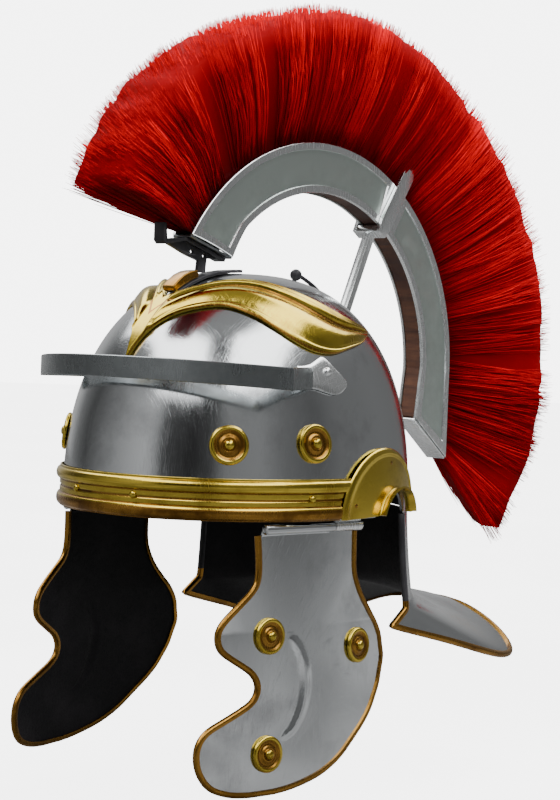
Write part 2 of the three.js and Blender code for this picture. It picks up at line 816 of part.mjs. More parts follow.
// Outline of a cheek guard: drops are shares of its length, front and rear shares of its width
const cheekRows = [
  { drop: 0, front: -0.678, rear: 0.067 },
  { drop: 0.08, front: -0.67, rear: 0.069 },
  { drop: 0.155, front: -0.672, rear: 0.074 },
  { drop: 0.207, front: -0.703, rear: 0.097 },
  { drop: 0.27, front: -0.807, rear: 0.148 },
  { drop: 0.333, front: -0.907, rear: 0.223 },
  { drop: 0.385, front: -0.937, rear: 0.288 },
  { drop: 0.44, front: -0.912, rear: 0.333 },
  { drop: 0.49, front: -0.808, rear: 0.347 },
  { drop: 0.535, front: -0.714, rear: 0.357 },
  { drop: 0.59, front: -0.68, rear: 0.334 },
  { drop: 0.645, front: -0.723, rear: 0.308 },
  { drop: 0.695, front: -0.867, rear: 0.266 },
  { drop: 0.74, front: -1.003, rear: 0.223 },
  { drop: 0.79, front: -1.061, rear: 0.153 },
  { drop: 0.85, front: -1.072, rear: 0.045 },
  { drop: 0.91, front: -1.046, rear: -0.072 },
  { drop: 0.96, front: -0.983, rear: -0.233 },
  { drop: 1, front: -0.836, rear: -0.482 },
];

function cheekOut(y, drop) {
  const share = drop / cheekLength;
  const bend = ((y + 0.413 * cheekWidth) / (0.55 * cheekWidth)) ** 2;
  return cheekFlare * share - cheekInset - cheekCurl * bend * Math.min(1, share * 2.6);
}

function cheekPoint(y, drop) {
  return vec(cheekOut(y, drop), y, -drop);
}

function cheekNormal(y, drop) {
  const step = 0.5;
  const back = cheekPoint(y + step, drop).sub(cheekPoint(y - step, drop));
  const up = cheekPoint(y, drop - step).sub(cheekPoint(y, drop + step));
  return back.cross(up).normalize();
}

const cheekTop = knuckleRadius + cheekTopGap;
const cheekColumns = 4;

function cheekGrid(offset) {
  return grid(cheekRows.length, cheekColumns + 1, (r, c) => {
    const row = cheekRows[r];
    const drop = mix(cheekTop, cheekLength, row.drop);
    const y = cheekWidth * mix(row.front, row.rear, c / cheekColumns);
    return cheekPoint(y, drop).addScaledVector(cheekNormal(y, drop), offset);
  });
}

function cheekPlate() {
  const half = cheekSheet / 2;
  const plate = sheet(cheekGrid(half), cheekGrid(-half));
  const tongueFrom = hingeFrontY + seatGap;
  const tongueTo = hingeSeamY - seatGap;
  const tongueTop = -(pinRadius + pinClearance + knuckleRadius) / 2;
  const tongueSide = (offset) => grid(2, 2, (r, c) => {
    const y = mix(tongueFrom, tongueTo, c);
    return vec(mix(tongueTop, cheekOut(y, cheekTop), r) + offset, y, -mix(0.5, cheekTop + 1, r));
  });
  const tongue = sheet(tongueSide(leafSheet * 0.45), tongueSide(-leafSheet * 0.45));
  return fused(plate, tongue, knuckle(hingeFrontY, hingeSeamY));
}

function cheekEdging() {
  const half = cheekSheet / 2;
  return edging(borderOf(cheekGrid(half)), borderOf(cheekGrid(-half)), cheekSheet);
}

// Crest box: an arc and a straight tail, seen from the side.
// An arc point is given by its angle from the back and its depth in from the outer edge.
function crestPoint(angle, depth) {
  const radius = crestRadius - depth;
  return [crestCentreY + radius * Math.cos(radians(angle)), crestCentreZ + radius * Math.sin(radians(angle))];
}

function crestArc(fromAngle, toAngle, depth, steps) {
  return Array.from({ length: steps + 1 }, (_, i) => crestPoint(mix(fromAngle, toAngle, i / steps), depth));
}

// Outline of a stretch of the crest box between two depths. The tail goes with it where asked.
function crestStretch(fromAngle, toAngle, outerDepth, innerDepth, slant, hasTail, steps, endInset = 0) {
  const outer = crestArc(fromAngle, toAngle, outerDepth, steps);
  const inner = crestArc(toAngle, fromAngle - slant, innerDepth, steps);
  if (!hasTail) {
    return [...outer, ...inner];
  }
  const outerShare = outerDepth / crestDepth;
  const innerShare = innerDepth / crestDepth;
  const endZ = crestCentreZ - crestTail + endInset;
  const tail = (depth, share) => [
    crestCentreY + crestRadius - depth - crestTailInset * share,
    endZ + crestTailSlant * share,
  ];
  return [...outer, tail(outerDepth, outerShare), tail(innerDepth, innerShare), ...inner];
}

const crestSteps = 12;

function crestOutline() {
  const outline = crestStretch(crestFrontAngle, 0, 0, crestDepth, crestFrontSlant, true, crestSteps);
  const frontInner = outline[outline.length - 1];
  frontInner[0] += crestFrontExtra * Math.cos(radians(crestFrontAngle + 180));
  frontInner[1] += crestFrontExtra * Math.sin(radians(crestFrontAngle + 180));
  return outline;
}

function crestSide() {
  const outline = crestOutline();
  const forkSpan = 6;
  const frontPanel = crestStretch(
    crestFrontAngle - 4, forkAngle + forkSpan, crestHem, crestDepth - crestHem, crestFrontSlant * 0.7, false, 9,
  );
  const rearPanel = crestStretch(forkAngle - forkSpan * 0.6, 0, crestHem, crestDepth - crestHem, 0, true, 6, crestHem * 1.4);
  const inner = crestWidth / 2 - crestPlate;
  const panel = prismAcross(outline, inner, crestWidth / 2);
  const hemFrom = crestWidth / 2 - crestPlate * 0.3;
  const hem = prismAcross(outline, hemFrom, crestWidth / 2 + crestHemRise, [frontPanel, rearPanel]);
  return fused(panel, hem);
}

function crestCore() {
  const topDepth = crestDepth - coreDepth;
  const outline = crestStretch(crestFrontAngle - 2.4, 0, topDepth, crestDepth - 1, crestFrontSlant - 2, true, crestSteps, 2);
  const half = crestWidth / 2 - crestPlate - seatGap;
  return prismAcross(outline, -half, half);
}

// The slanted end of the box: places by distance from its outer or inner corner, inward along
// the end and square out from it
function crestEnd(outerCorner, innerCorner) {
  const along = new THREE.Vector2(innerCorner[0] - outerCorner[0], innerCorner[1] - outerCorner[1]).normalize();
  const away = new THREE.Vector2(along.y, -along.x);
  if (away.y > 0) {
    away.negate();
  }
  const from = (corner) => (forward, out) => [
    corner[0] + along.x * forward + away.x * out,
    corner[1] + along.y * forward + away.y * out,
  ];
  return { outer: from(outerCorner), inner: from(innerCorner) };
}

// A strip across an end of the box between two distances out from it
function endStrip(end, near, far, halfWidth, extra = 0) {
  const outline = [end.outer(-extra, near), end.inner(extra, near), end.inner(extra, far), end.outer(-extra, far)];
  return prismAcross(outline, -halfWidth, halfWidth);
}

// Fork: a ribbed stem from the bowl, a yoke under the box and a prong up each side of it
const prongFromX = crestWidth / 2 + crestHemRise + seatGap;
const prongToX = prongFromX + forkProngSheet;

function radialOutline(rows) {
  const side = (sign) => rows.map(({ depth, half }) => {
    const [y, z] = crestPoint(forkAngle, depth);
    const along = radians(forkAngle - 90);
    return [y + sign * half * Math.cos(along), z + sign * half * Math.sin(along)];
  });
  return [...side(1), ...side(-1).reverse()];
}

function prongOutline(grow) {
  const half = forkProngWidth / 2 + grow;
  const yokeDepth = crestDepth + forkYokeGap + forkYokeDepth;
  return radialOutline([
    { depth: yokeDepth, half: half * 0.7 },
    { depth: crestDepth - 4, half },
    { depth: -forkOverhang * 0.6, half: half * 0.95 },
    { depth: -forkOverhang * 0.88, half: half * 0.7 },
    { depth: -forkOverhang - grow, half: half * 0.3 },
  ]);
}

function fork() {
  const prong = prismAcross(prongOutline(0), prongFromX, prongToX);
  const yoke = prismAcross(radialOutline([
    { depth: crestDepth + forkYokeGap + forkYokeDepth, half: forkProngWidth * 0.35 },
    { depth: crestDepth + forkYokeGap, half: forkProngWidth * 0.35 },
  ]), -prongToX + 0.2, prongToX - 0.2);
  const normal = bowlNormal(0, forkFootY, bowlRise(0, forkFootY));
  const foot = turnedPiece([[0, 0], [forkFootRadius, 0], [forkFootRadius * 0.9, forkFootSheet], [0, forkFootSheet]], 12);
  const footPoint = overCrown(0, forkFootY, seatGap);
  const turn = new THREE.Quaternion().setFromUnitVectors(vec(0, 0, 1), normal);
  foot.applyQuaternion(turn).translate(footPoint.x, footPoint.y, footPoint.z);
  const [topY, topZ] = crestPoint(forkAngle, crestDepth + forkYokeGap + forkYokeDepth * 0.5);
  const low = footPoint.clone().addScaledVector(normal, forkFootSheet * 0.5);
  const high = vec(0, topY, topZ);
  const along = high.clone().sub(low).normalize();
  const [w, d] = [forkStemWidth / 2, forkStemDepth / 2];
  const section = [
    [-w, -d], [-w * 0.45, -d], [-w * 0.2, -d * 0.55], [w * 0.2, -d * 0.55], [w * 0.45, -d], [w, -d],
    [w, d], [w * 0.45, d], [w * 0.2, d * 0.55], [-w * 0.2, d * 0.55], [-w * 0.45, d], [-w, d],
  ];
  const up = vec(1, 0, 0).cross(along);
  const frames = [low, high].map((origin) => ({ origin, across: vec(1, 0, 0), up }));
  return fused(prong, mirrored(prong), yoke, foot, swept(section, frames));
}

// Front hook of the crest box, its strip on the crown and its socket

function crownSheet(frontY, rearY, halfWidth, lowOut, highOut, rows) {
  const place = (outAt) => grid(rows + 1, 3, (r, c) => {
    const y = mix(frontY, rearY, r / rows);
    return overCrown(mix(-halfWidth, halfWidth, c / 2), y, outAt(r / rows));
  });
  return sheet(place(highOut), place(() => lowOut));
}

function crownStrip() {
  const low = curvedSeatGap;
  return crownSheet(crownStripFrontY, crownStripRearY, crownStripHalfWidth, low, () => low + crownStripSheet, 5);
}

function crownSocket() {
  const low = 1.5 * curvedSeatGap + crownStripSheet;
  const high = (share) => low + socketHeight * (0.45 + 0.55 * Math.sin(Math.PI * mix(0.12, 0.8, share)));
  return crownSheet(socketFrontY, socketRearY, socketHalfWidth, low, high, 4);
}

function crestHook(end) {
  const near = crestPlate + 2 * seatGap;
  const postY = socketRearY + 4;
  const postFoot = bowlRise(0, postY + 4) + crownStripSheet + 2 * curvedSeatGap;
  const [frontTop, rearTop] = [end.outer(1, near + hookSheet / 2), end.inner(-3, near + hookSheet / 2)];
  const lipFootZ = end.outer(0, near)[1] - 3;
  const web = [
    [hookLipY + 2, lipFootZ],
    [mix(hookLipY, postY, 0.62), mix(lipFootZ, postFoot, 0.42)],
    [postY - 2, mix(lipFootZ, postFoot, 0.6)],
    [postY - 3, postFoot],
    [postY + 4, postFoot],
    [postY + 5, mix(lipFootZ, postFoot, 0.5)],
    rearTop,
    frontTop,
  ];
  const holes = [
    circlePoints(postY - 8.5, mix(lipFootZ, postFoot, 0.3), hookHoleRadius, 8),
    circlePoints(postY + 2.5, mix(lipFootZ, postFoot, 0.42), hookHoleRadius, 8),
  ];
  const strip = [
    [hookLipY, lipFootZ + hookLipHeight],
    [hookLipY, lipFootZ],
    [hookLipY + hookSheet, lipFootZ - hookSheet],
    end.outer(0, near + hookSheet),
    end.inner(-2, near + hookSheet),
    end.inner(-2, near),
    end.outer(0, near),
    [hookLipY + hookSheet + 1, lipFootZ + 1],
    [hookLipY + hookSheet, lipFootZ + hookLipHeight],
  ];
  const half = hookWidth / 2;
  return fused(
    prismAcross(web, -hookWeb / 2, hookWeb / 2, holes),
    prismAcross(strip, -half, half),
  );
}

function rearHook() {
  const footZ = bowlRise(0, rearHookFootY) + 2.5;
  const knobZ = bowlRise(0, rearHookKnobY) + rearHookKnobLift;
  const rows = [
    { y: rearHookFootY, z: footZ, thick: 1.6 },
    { y: mix(rearHookFootY, rearHookKnobY, 0.06), z: mix(footZ, knobZ, 0.36), thick: 1.3 },
    { y: mix(rearHookFootY, rearHookKnobY, 0.35), z: mix(footZ, knobZ, 0.68), thick: 1 },
    { y: rearHookKnobY, z: knobZ, thick: 1.1 },
  ];
  const frames = rows.map((row, i) => {
    const before = rows[Math.max(0, i - 1)];
    const after = rows[Math.min(rows.length - 1, i + 1)];
    const along = vec(0, after.y - before.y, after.z - before.z).normalize();
    const across = vec(1, 0, 0).multiplyScalar(row.thick);
    const up = vec(1, 0, 0).cross(along).multiplyScalar(row.thick);
    return { origin: vec(0, row.y, row.z), across, up };
  });
  const section = circlePoints(0, 0, rearHookWire, 6);
  const knob = new THREE.SphereGeometry(rearHookKnobRadius, 8, 6);
  knob.deleteAttribute('normal');
  knob.deleteAttribute('uv');
  const place = knob.attributes.position;
  const points = Array.from({ length: place.count }, (_, i) => vec(0, 0, 0).fromBufferAttribute(place, i));
  const corners = Array.from(knob.index.array);
  const triangles = [];
  for (let i = 0; i < corners.length; i += 3) {
    triangles.push(corners.slice(i, i + 3));
  }
  const ball = closedGeometry(points, triangles).translate(0, rearHookKnobY, knobZ);
  return fused(swept(section, frames), ball);
}

// Plume: locks fused to a backing that lies in the mouth of the crest box.
// Along is the share of the box's outer edge from front to tail end, lean turns a lock's
// direction away from square to that edge, and reach is a share of the plume's length.
const plumeStations = [
  { along: 0, lean: 16, reach: 0.7 },
  { along: 0.04, lean: 15, reach: 0.77 },
  { along: 0.08, lean: 8, reach: 0.76 },
  { along: 0.14, lean: 6, reach: 0.75 },
  { along: 0.25, lean: 1, reach: 0.715 },
  { along: 0.4, lean: 0, reach: 0.785 },
  { along: 0.55, lean: 0, reach: 0.8 },
  { along: 0.68, lean: 0, reach: 0.905 },
  { along: 0.78, lean: 0, reach: 0.955 },
  { along: 0.88, lean: -4, reach: 0.92 },
  { along: 0.94, lean: -15, reach: 0.885 },
  { along: 1, lean: -36, reach: 0.72 },
];

function plumeBase(along) {
  const arcLength = radians(crestFrontAngle) * crestRadius;
  const whole = arcLength + crestTail;
  const run = along * whole;
  if (run <= arcLength) {
    const angle = crestFrontAngle * (1 - run / arcLength);
    const [y, z] = crestPoint(angle, 0);
    return { y, z, angle };
  }
  return { y: crestCentreY + crestRadius, z: crestCentreZ - (run - arcLength), angle: 0 };
}

function plumeLock(index) {
  const along = mix(0.016, 0.985, index / (plumeLocks - 1));
  const base = plumeBase(along);
  const next = plumeBase(Math.min(1, along + 0.5 / plumeLocks));
  const last = plumeBase(Math.max(0, along - 0.5 / plumeLocks));
  const lean = tableValue(plumeStations, 'along', along, 'lean');
  const reach = plumeLength * tableValue(plumeStations, 'along', along, 'reach');
  const leanSpread = tableValue(plumeStations, 'along', Math.min(1, along + 0.5 / plumeLocks), 'lean')
    - tableValue(plumeStations, 'along', Math.max(0, along - 0.5 / plumeLocks), 'lean');
  const angleSpread = radians(Math.abs(last.angle - next.angle) + Math.abs(leanSpread));
  const spacing = Math.hypot(next.y - last.y, next.z - last.z);
  const angle = radians(base.angle + lean);
  const out = vec(0, Math.cos(angle), Math.sin(angle));
  const side = vec(0, -Math.sin(angle), Math.cos(angle));
  const uneven = 1 + 0.05 * Math.cos(index * 2.4);
  const rings = [
    { at: -3, wide: crestWidth / 2 - crestPlate - 2 * seatGap, thick: 0.42 },
    { at: 1, wide: crestWidth / 2 - crestPlate - seatGap, thick: 0.5 },
    { at: reach * 0.42, wide: plumeHalfWidth * 0.7, thick: 0.68 },
    { at: reach * 0.86 * uneven, wide: plumeHalfWidth * 0.92, thick: 0.66 },
    { at: reach * uneven, wide: plumeHalfWidth * 0.35, thick: 0.35 },
  ];
  const points = [];
  const sides = 6;
  for (const { at, wide, thick } of rings) {
    const half = thick * (spacing + angleSpread * Math.max(0, at));
    for (let k = 0; k < sides; k += 1) {
      const turn = 2 * Math.PI * k / sides;
      const point = vec(wide * signedPower(Math.cos(turn), 0.6), base.y, base.z);
      points.push(point.addScaledVector(out, at).addScaledVector(side, half * signedPower(Math.sin(turn), 0.6)));
    }
  }
  const triangles = [];
  for (let r = 0; r < rings.length - 1; r += 1) {
    for (let k = 0; k < sides; k += 1) {
      const [a, b] = [r * sides + k, r * sides + (k + 1) % sides];
      triangles.push([a, b, b + sides], [a, b + sides, a + sides]);
    }
  }
  for (let k = 1; k < sides - 1; k += 1) {
    const top = (rings.length - 1) * sides;
    triangles.push([0, k + 1, k], [top, top + k, top + k + 1]);
  }
  return closedGeometry(points, triangles);
}

function plume(clearances) {
  const half = crestWidth / 2 - crestPlate - seatGap;
  const topDepth = crestDepth - coreDepth - 2 * curvedSeatGap;
  const backing = crestStretch(crestFrontAngle - 1, 0, -1, topDepth, 0.4, true, crestSteps, 1);
  const locks = Array.from({ length: plumeLocks }, (_, i) => plumeLock(i));
  const prongSpace = prismAcross(prongOutline(2 * seatGap), prongFromX - seatGap, prongToX + seatGap);
  const edges = crestStretch(crestFrontAngle + 0.2, 0, -seatGap, crestDepth, 0, true, crestSteps, -seatGap);
  const sideSpace = prismAcross(edges, half, crestWidth / 2 + crestHemRise + seatGap);
  return cutAway(
    fused(prismAcross(backing, -half, half), ...locks),
    prongSpace,
    mirrored(prongSpace),
    sideSpace,
    mirrored(sideSpace),
    ...clearances,
  );
}

// Assembly

addPiece('bowl', steel, bowl());

const neckFace = neckGrid();
const neckBack = shifted(neckFace, bowlWall);
addPiece('neck_guard', steel, sheet(neckFace, neckBack));
addPiece('neck_guard_edging', brass, edging(borderOf(neckFace), borderOf(neckBack), bowlWall));

addPiece('rim_band', brass, rimBand());
const bandRivets = [
  { name: 'band_rivet_brow', turn: -77 },
  { name: 'band_rivet_side', turn: -18 },
];
for (const { name, turn } of bandRivets) {
  const [x, y] = planPoint(radians(turn));
  const normal = bowlNormal(x, y, 0);
  const point = vec(x, y, bandHeight * 0.53).addScaledVector(normal, curvedSeatGap + bandSheet + seatGap);
  addOnSides(name, brass, rivet(bandRivetRadius), point, normal);
}

const leftEarGuard = earGuard();
addPiece('ear_guard_left', brass, leftEarGuard);
addPiece('ear_guard_right', brass, mirrored(leftEarGuard));
const earRivets = [
  { name: 'ear_rivet_upper', y: 0.27, z: 0.8 },
  { name: 'ear_rivet_lower', y: -0.045, z: 0.2 },
];
for (const { name, y, z } of earRivets) {
  const point = overSide(y * bowlHalfLength, z * earGuardHeight, curvedSeatGap + earGuardSheet + seatGap);
  const normal = bowlNormal(bowlSide(y * bowlHalfLength, z * earGuardHeight), y * bowlHalfLength, z * earGuardHeight);
  addOnSides(name, brass, rivet(earRivetRadius), point, normal);
}

addPiece('brow_plate', brass, browPlate());
addPiece('brow_guard', darkSteel, browGuard());
const browRivetY = -0.165 * bowlHalfLength;
const browRivetZ = browGuardZ + 0.74 * browGuardHeight;
addOnSides(
  'brow_rivet',
  steel,
  rivet(browRivetRadius),
  overSide(browRivetY, browRivetZ, curvedSeatGap + browTabSheet + seatGap),
  bowlNormal(bowlSide(browRivetY, browRivetZ), browRivetY, browRivetZ),
);

const bowlRosettes = [
  { name: 'bowl_rosette_front', y: -0.71, z: 0.3 },
  { name: 'bowl_rosette_rear', y: -0.3, z: 0.31 },
];
for (const { name, y, z } of bowlRosettes) {
  const [atY, atZ] = [y * bowlHalfLength, z * bowlHeight];
  const normal = bowlNormal(bowlSide(atY, atZ), atY, atZ);
  addOnSides(name, brass, rosette(bowlRosetteRadius), overSide(atY, atZ, curvedSeatGap), normal);
}

const leftLeaf = hingeLeaf();
addPiece('hinge_leaf_left', steel, leftLeaf);
addPiece('hinge_leaf_right', steel, mirrored(leftLeaf));

const leftHinge = new THREE.Group();
leftHinge.position.set(hingeX, 0, -hingeDrop);
leftHinge.rotation.z = -radians(hingeTurn);
const rightHinge = new THREE.Group();
rightHinge.position.set(-hingeX, 0, -hingeDrop);
rightHinge.rotation.z = radians(hingeTurn);
helmet.add(leftHinge, rightHinge);

const pin = ring(hingeFrontY, hingeRearY, pinRadius, 0, 10);
addPiece('hinge_pin_left', steel, pin, leftHinge);
addPiece('hinge_pin_right', steel, mirrored(pin), rightHinge);
const leftCheek = cheekPlate();
addPiece('cheek_plate_left', steel, leftCheek, leftHinge);
addPiece('cheek_plate_right', steel, mirrored(leftCheek), rightHinge);
const leftCheekEdging = cheekEdging();
addPiece('cheek_edging_left', brass, leftCheekEdging, leftHinge);
addPiece('cheek_edging_right', brass, mirrored(leftCheekEdging), rightHinge);
const cheekRosettes = [
  { name: 'cheek_rosette_front', y: -0.597, drop: 0.407 },
  { name: 'cheek_rosette_rear', y: 0.105, drop: 0.483 },
  { name: 'cheek_rosette_low', y: -0.623, drop: 0.852 },
];
for (const { name, y, drop } of cheekRosettes) {
  const normal = cheekNormal(y * cheekWidth, drop * cheekLength);
  const point = cheekPoint(y * cheekWidth, drop * cheekLength).addScaledVector(normal, cheekSheet / 2 + 2 * seatGap);
  addOnSides(name, brass, rosette(cheekRosetteRadius), point, normal, [leftHinge, rightHinge]);
}

const leftCrestSide = crestSide();
addPiece('crest_side_left', satinSteel, leftCrestSide);
addPiece('crest_side_right', satinSteel, mirrored(leftCrestSide));
addPiece('crest_core', stainedWood, crestCore());
const outline = crestOutline();
const frontEnd = crestEnd(outline[0], outline[outline.length - 1]);
const rearEnd = crestEnd(outline[crestSteps + 1], outline[crestSteps + 2]);
const capFar = seatGap + crestPlate;
addPiece('crest_cap_front', satinSteel, endStrip(frontEnd, seatGap, capFar, crestWidth / 2));
addPiece('crest_cap_rear', satinSteel, endStrip(rearEnd, seatGap, capFar, crestWidth / 2));
addPiece('crest_fork', satinSteel, fork());
addPiece('crown_strip', iron, crownStrip());
addPiece('crown_socket', brass, crownSocket());
addPiece('crest_hook', iron, crestHook(frontEnd));
addPiece('rear_hook', iron, rearHook());

const hookSpaceHalf = hookWidth / 2 + seatGap;
const lipSpace = prismAcross(
  [
    [hookLipY - seatGap, frontEnd.outer(0, 0)[1] + hookLipHeight],
    [hookLipY - seatGap, frontEnd.outer(0, 0)[1] - 2 * hookLipHeight],
    frontEnd.outer(seatGap, hookLipHeight),
    frontEnd.outer(seatGap, 0),
    frontEnd.outer(-2 * hookSheet, 0),
    [hookLipY + hookSheet + 2 * seatGap, frontEnd.outer(0, 0)[1] + hookLipHeight],
  ],
  -hookSpaceHalf,
  hookSpaceHalf,
);
addPiece('plume', redHair, plume([
  endStrip(frontEnd, 0, capFar + 2 * seatGap + hookSheet, crestWidth / 2 + seatGap, seatGap),
  endStrip(rearEnd, 0, capFar + seatGap, crestWidth / 2 + seatGap, seatGap),
  lipSpace,
]));

helmet.position.z = bowlWall - bowlHeight;
helmet.updateMatrixWorld(true);

export default helmet;
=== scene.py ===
"""Looks of a plumed Roman legionary helmet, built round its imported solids.

Shapes are worked out in millimetres with height zero at the bottom of the rim, then moved to the
frame, whose origin is the inside of the crown. The wearer faces -Y and their left is +X.
"""

import math

import bmesh
import bpy
import numpy as np
from mathutils import Matrix, Vector


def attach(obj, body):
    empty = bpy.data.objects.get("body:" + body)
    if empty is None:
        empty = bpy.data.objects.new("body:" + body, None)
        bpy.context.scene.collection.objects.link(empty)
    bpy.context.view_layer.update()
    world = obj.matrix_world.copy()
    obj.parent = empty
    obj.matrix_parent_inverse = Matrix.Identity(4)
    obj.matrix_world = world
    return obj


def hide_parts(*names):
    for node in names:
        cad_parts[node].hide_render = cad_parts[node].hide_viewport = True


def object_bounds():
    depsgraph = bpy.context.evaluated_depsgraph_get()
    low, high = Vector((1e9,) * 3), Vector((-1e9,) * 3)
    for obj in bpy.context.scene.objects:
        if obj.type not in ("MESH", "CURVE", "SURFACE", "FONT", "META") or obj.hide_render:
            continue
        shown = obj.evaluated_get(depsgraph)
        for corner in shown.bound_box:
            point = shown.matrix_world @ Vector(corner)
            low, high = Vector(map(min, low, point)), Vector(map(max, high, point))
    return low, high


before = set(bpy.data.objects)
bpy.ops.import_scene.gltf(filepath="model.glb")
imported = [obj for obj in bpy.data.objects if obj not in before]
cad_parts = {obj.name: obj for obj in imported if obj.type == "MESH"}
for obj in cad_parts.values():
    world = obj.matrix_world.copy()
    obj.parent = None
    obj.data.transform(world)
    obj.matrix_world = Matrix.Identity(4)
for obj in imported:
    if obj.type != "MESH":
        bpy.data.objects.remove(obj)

cad_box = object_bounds()

# Sizes in millimetres, as the solids have them

HALF_WIDTH = 100.0
HALF_LENGTH = 121.0
HEIGHT = 150.0
WALL = 1.6
PLAN_POWER = 2.1
SIDE_POWER = 2.42
CROWN_INSIDE = HEIGHT - WALL

EAR_Y = 40.0
EAR_DROP = 5.0
EAR_RADIUS = 21.0

NAPE_DEPTH = 56.0
NAPE_SIDE_EXTRA = 6.0
NAPE_FLARE = 5.0
NECK_REACH = 87.0
NECK_HALF_WIDTH = 106.0
NECK_FRONT_HALF_WIDTH = 93.0
NECK_FRONT_INSET = 14.0
NECK_DROP = 16.0
NECK_CAMBER = 46.0
NECK_POWER = 5.0

BAND_HEIGHT = 25.4
EAR_GUARD_Y = 27.0
EAR_GUARD_LENGTH = 44.0
EAR_GUARD_HEIGHT = 42.0
EAR_FLANGE = 9.0

BROW_GUARD_HALF = 108.0
BROW_GUARD_CREASE = -76.0
BROW_GUARD_BULGE = 40.0
BROW_GUARD_Z = 79.2
BROW_GUARD_HEIGHT = 13.4
BROW_GUARD_RISE = 3.0
BROW_GUARD_SHEET = 3.0

HINGE_X = 95.0
HINGE_TURN = 6.4
HINGE_DROP = 4.4
HINGE_FRONT = -71.0
HINGE_SEAM = -15.0
HINGE_REAR = 8.0
KNUCKLE_RADIUS = 3.0
CHEEK_TOP = 3.7
CHEEK_LENGTH = 156.0
CHEEK_WIDTH = 109.0
CHEEK_SHEET = 1.5
CHEEK_FLARE = 11.0
CHEEK_INSET = 4.2
CHEEK_CURL = 5.0
# Shares: the middle of the guard's width ahead of the axis, the reach of its curl from there, and
# how fast the curl grows below the hinge
CHEEK_MIDDLE = 0.413
CHEEK_BEND_SPAN = 0.55
CHEEK_CURL_START = 2.6

CREST_Y = 65.0
CREST_Z = 91.5
CREST_RADIUS = 149.0
CREST_DEPTH = 33.0
CREST_TAIL = 64.5
CREST_TAIL_SLANT = 29.0
CREST_TAIL_INSET = 5.0
CREST_HALF = 8.0
CREST_PLATE = 1.4
CREST_HEM = 4.6
CREST_TAIL_HEM = 6.4
CREST_EDGE = 0.4
CREST_FRONT = 147.4
CREST_FRONT_SLANT = 5.2
CREST_FRONT_EXTRA = 5.0
FORK_ANGLE = 57.0
FORK_GAP_ANGLE = 4.8
PLUME_LENGTH = 124.0
PLUME_HALF_WIDTH = 30.0


# Materials


def node(tree, kind, **settings):
    made = tree.nodes.new(kind)
    for key, value in settings.items():
        setattr(made, key, value)
    return made


def new_group(name, inputs, outputs):
    group = bpy.data.node_groups.new(name, "ShaderNodeTree")
    for label, default in inputs:
        socket = group.interface.new_socket(label, in_out="INPUT", socket_type="NodeSocketFloat")
        socket.default_value = default
    for label in outputs:
        group.interface.new_socket(label, in_out="OUTPUT", socket_type="NodeSocketFloat")
    return group, node(group, "NodeGroupInput"), node(group, "NodeGroupOutput")


def noise(tree, scale, detail=4.0, roughness=0.55, stretch=None, turn=(0, 0, 0)):
    """A noise texture in the helmet's own coordinates, in metres."""
    place = node(tree, "ShaderNodeTexCoord")
    mapping = node(tree, "ShaderNodeMapping")
    mapping.inputs["Scale"].default_value = stretch or (1, 1, 1)
    mapping.inputs["Rotation"].default_value = turn
    texture = node(tree, "ShaderNodeTexNoise")
    texture.inputs["Scale"].default_value = scale
    texture.inputs["Detail"].default_value = detail
    texture.inputs["Roughness"].default_value = roughness
    tree.links.new(place.outputs["Object"], mapping.inputs["Vector"])
    tree.links.new(mapping.outputs["Vector"], texture.inputs["Vector"])
    return texture


def remap(tree, source, low, high, to_low=0.0, to_high=1.0):
    spread = node(tree, "ShaderNodeMapRange")
    spread.inputs["From Min"].default_value = low
    spread.inputs["From Max"].default_value = high
    spread.inputs["To Min"].default_value = to_low
    spread.inputs["To Max"].default_value = to_high
    tree.links.new(source, spread.inputs["Value"])
    return spread.outputs["Result"]


def math_node(tree, operation, first, second):
    made = node(tree, "ShaderNodeMath", operation=operation)
    for socket, value in zip(made.inputs, (first, second)):
        if isinstance(value, (int, float)):
            socket.default_value = value
        else:
            tree.links.new(value, socket)
    return made.outputs[0]


def build_scratches():
    """Fine polishing lines in two directions. Height feeds a bump and Mask a roughness."""
    group, inside, outside = new_group(
        "polishing_lines", [("Scale", 1.0), ("Depth", 1.0)], ["Height", "Mask"]
    )
    heights = []
    for stretch, turn in (((9, 420, 9), (0.3, 0.1, 0.6)), ((520, 8, 11), (0.1, 0.5, -0.4))):
        texture = noise(group, 8.0, 2.0, 0.6, stretch, turn)
        group.links.new(math_node(group, "MULTIPLY", inside.outputs["Scale"], 8.0), texture.inputs["Scale"])
        heights.append(remap(group, texture.outputs["Fac"], 0.56, 0.7))
    both = math_node(group, "MAXIMUM", heights[0], heights[1])
    group.links.new(math_node(group, "MULTIPLY", both, inside.outputs["Depth"]), outside.inputs["Height"])
    group.links.new(both, outside.inputs["Mask"])
    return group


def build_clouds():
    """Uneven patches where a finish has dulled. Coverage sets how much of it has."""
    group, inside, outside = new_group(
        "dulled_patches", [("Scale", 20.0), ("Coverage", 0.5)], ["Mask", "Speckle"]
    )
    large = noise(group, 20.0, 6.0, 0.62)
    group.links.new(inside.outputs["Scale"], large.inputs["Scale"])
    start = math_node(group, "SUBTRACT", 1.0, inside.outputs["Coverage"])
    low = math_node(group, "MULTIPLY_ADD", start, 0.5)
    low.node.inputs[2].default_value = 0.22
    span = math_node(group, "SUBTRACT", large.outputs["Fac"], low)
    group.links.new(remap(group, span, 0.0, 0.22), outside.inputs["Mask"])
    speckle = noise(group, 900.0, 2.0, 0.5)
    group.links.new(remap(group, speckle.outputs["Fac"], 0.45, 0.7), outside.inputs["Speckle"])
    return group


def build_ripple():
    """The slight waviness of hand-worked sheet, which bends what it mirrors."""
    group, inside, outside = new_group("sheet_ripple", [("Scale", 24.0)], ["Height"])
    wave = noise(group, 24.0, 1.0, 0.4)
    group.links.new(inside.outputs["Scale"], wave.inputs["Scale"])
    group.links.new(wave.outputs["Fac"], outside.inputs["Height"])
    return group


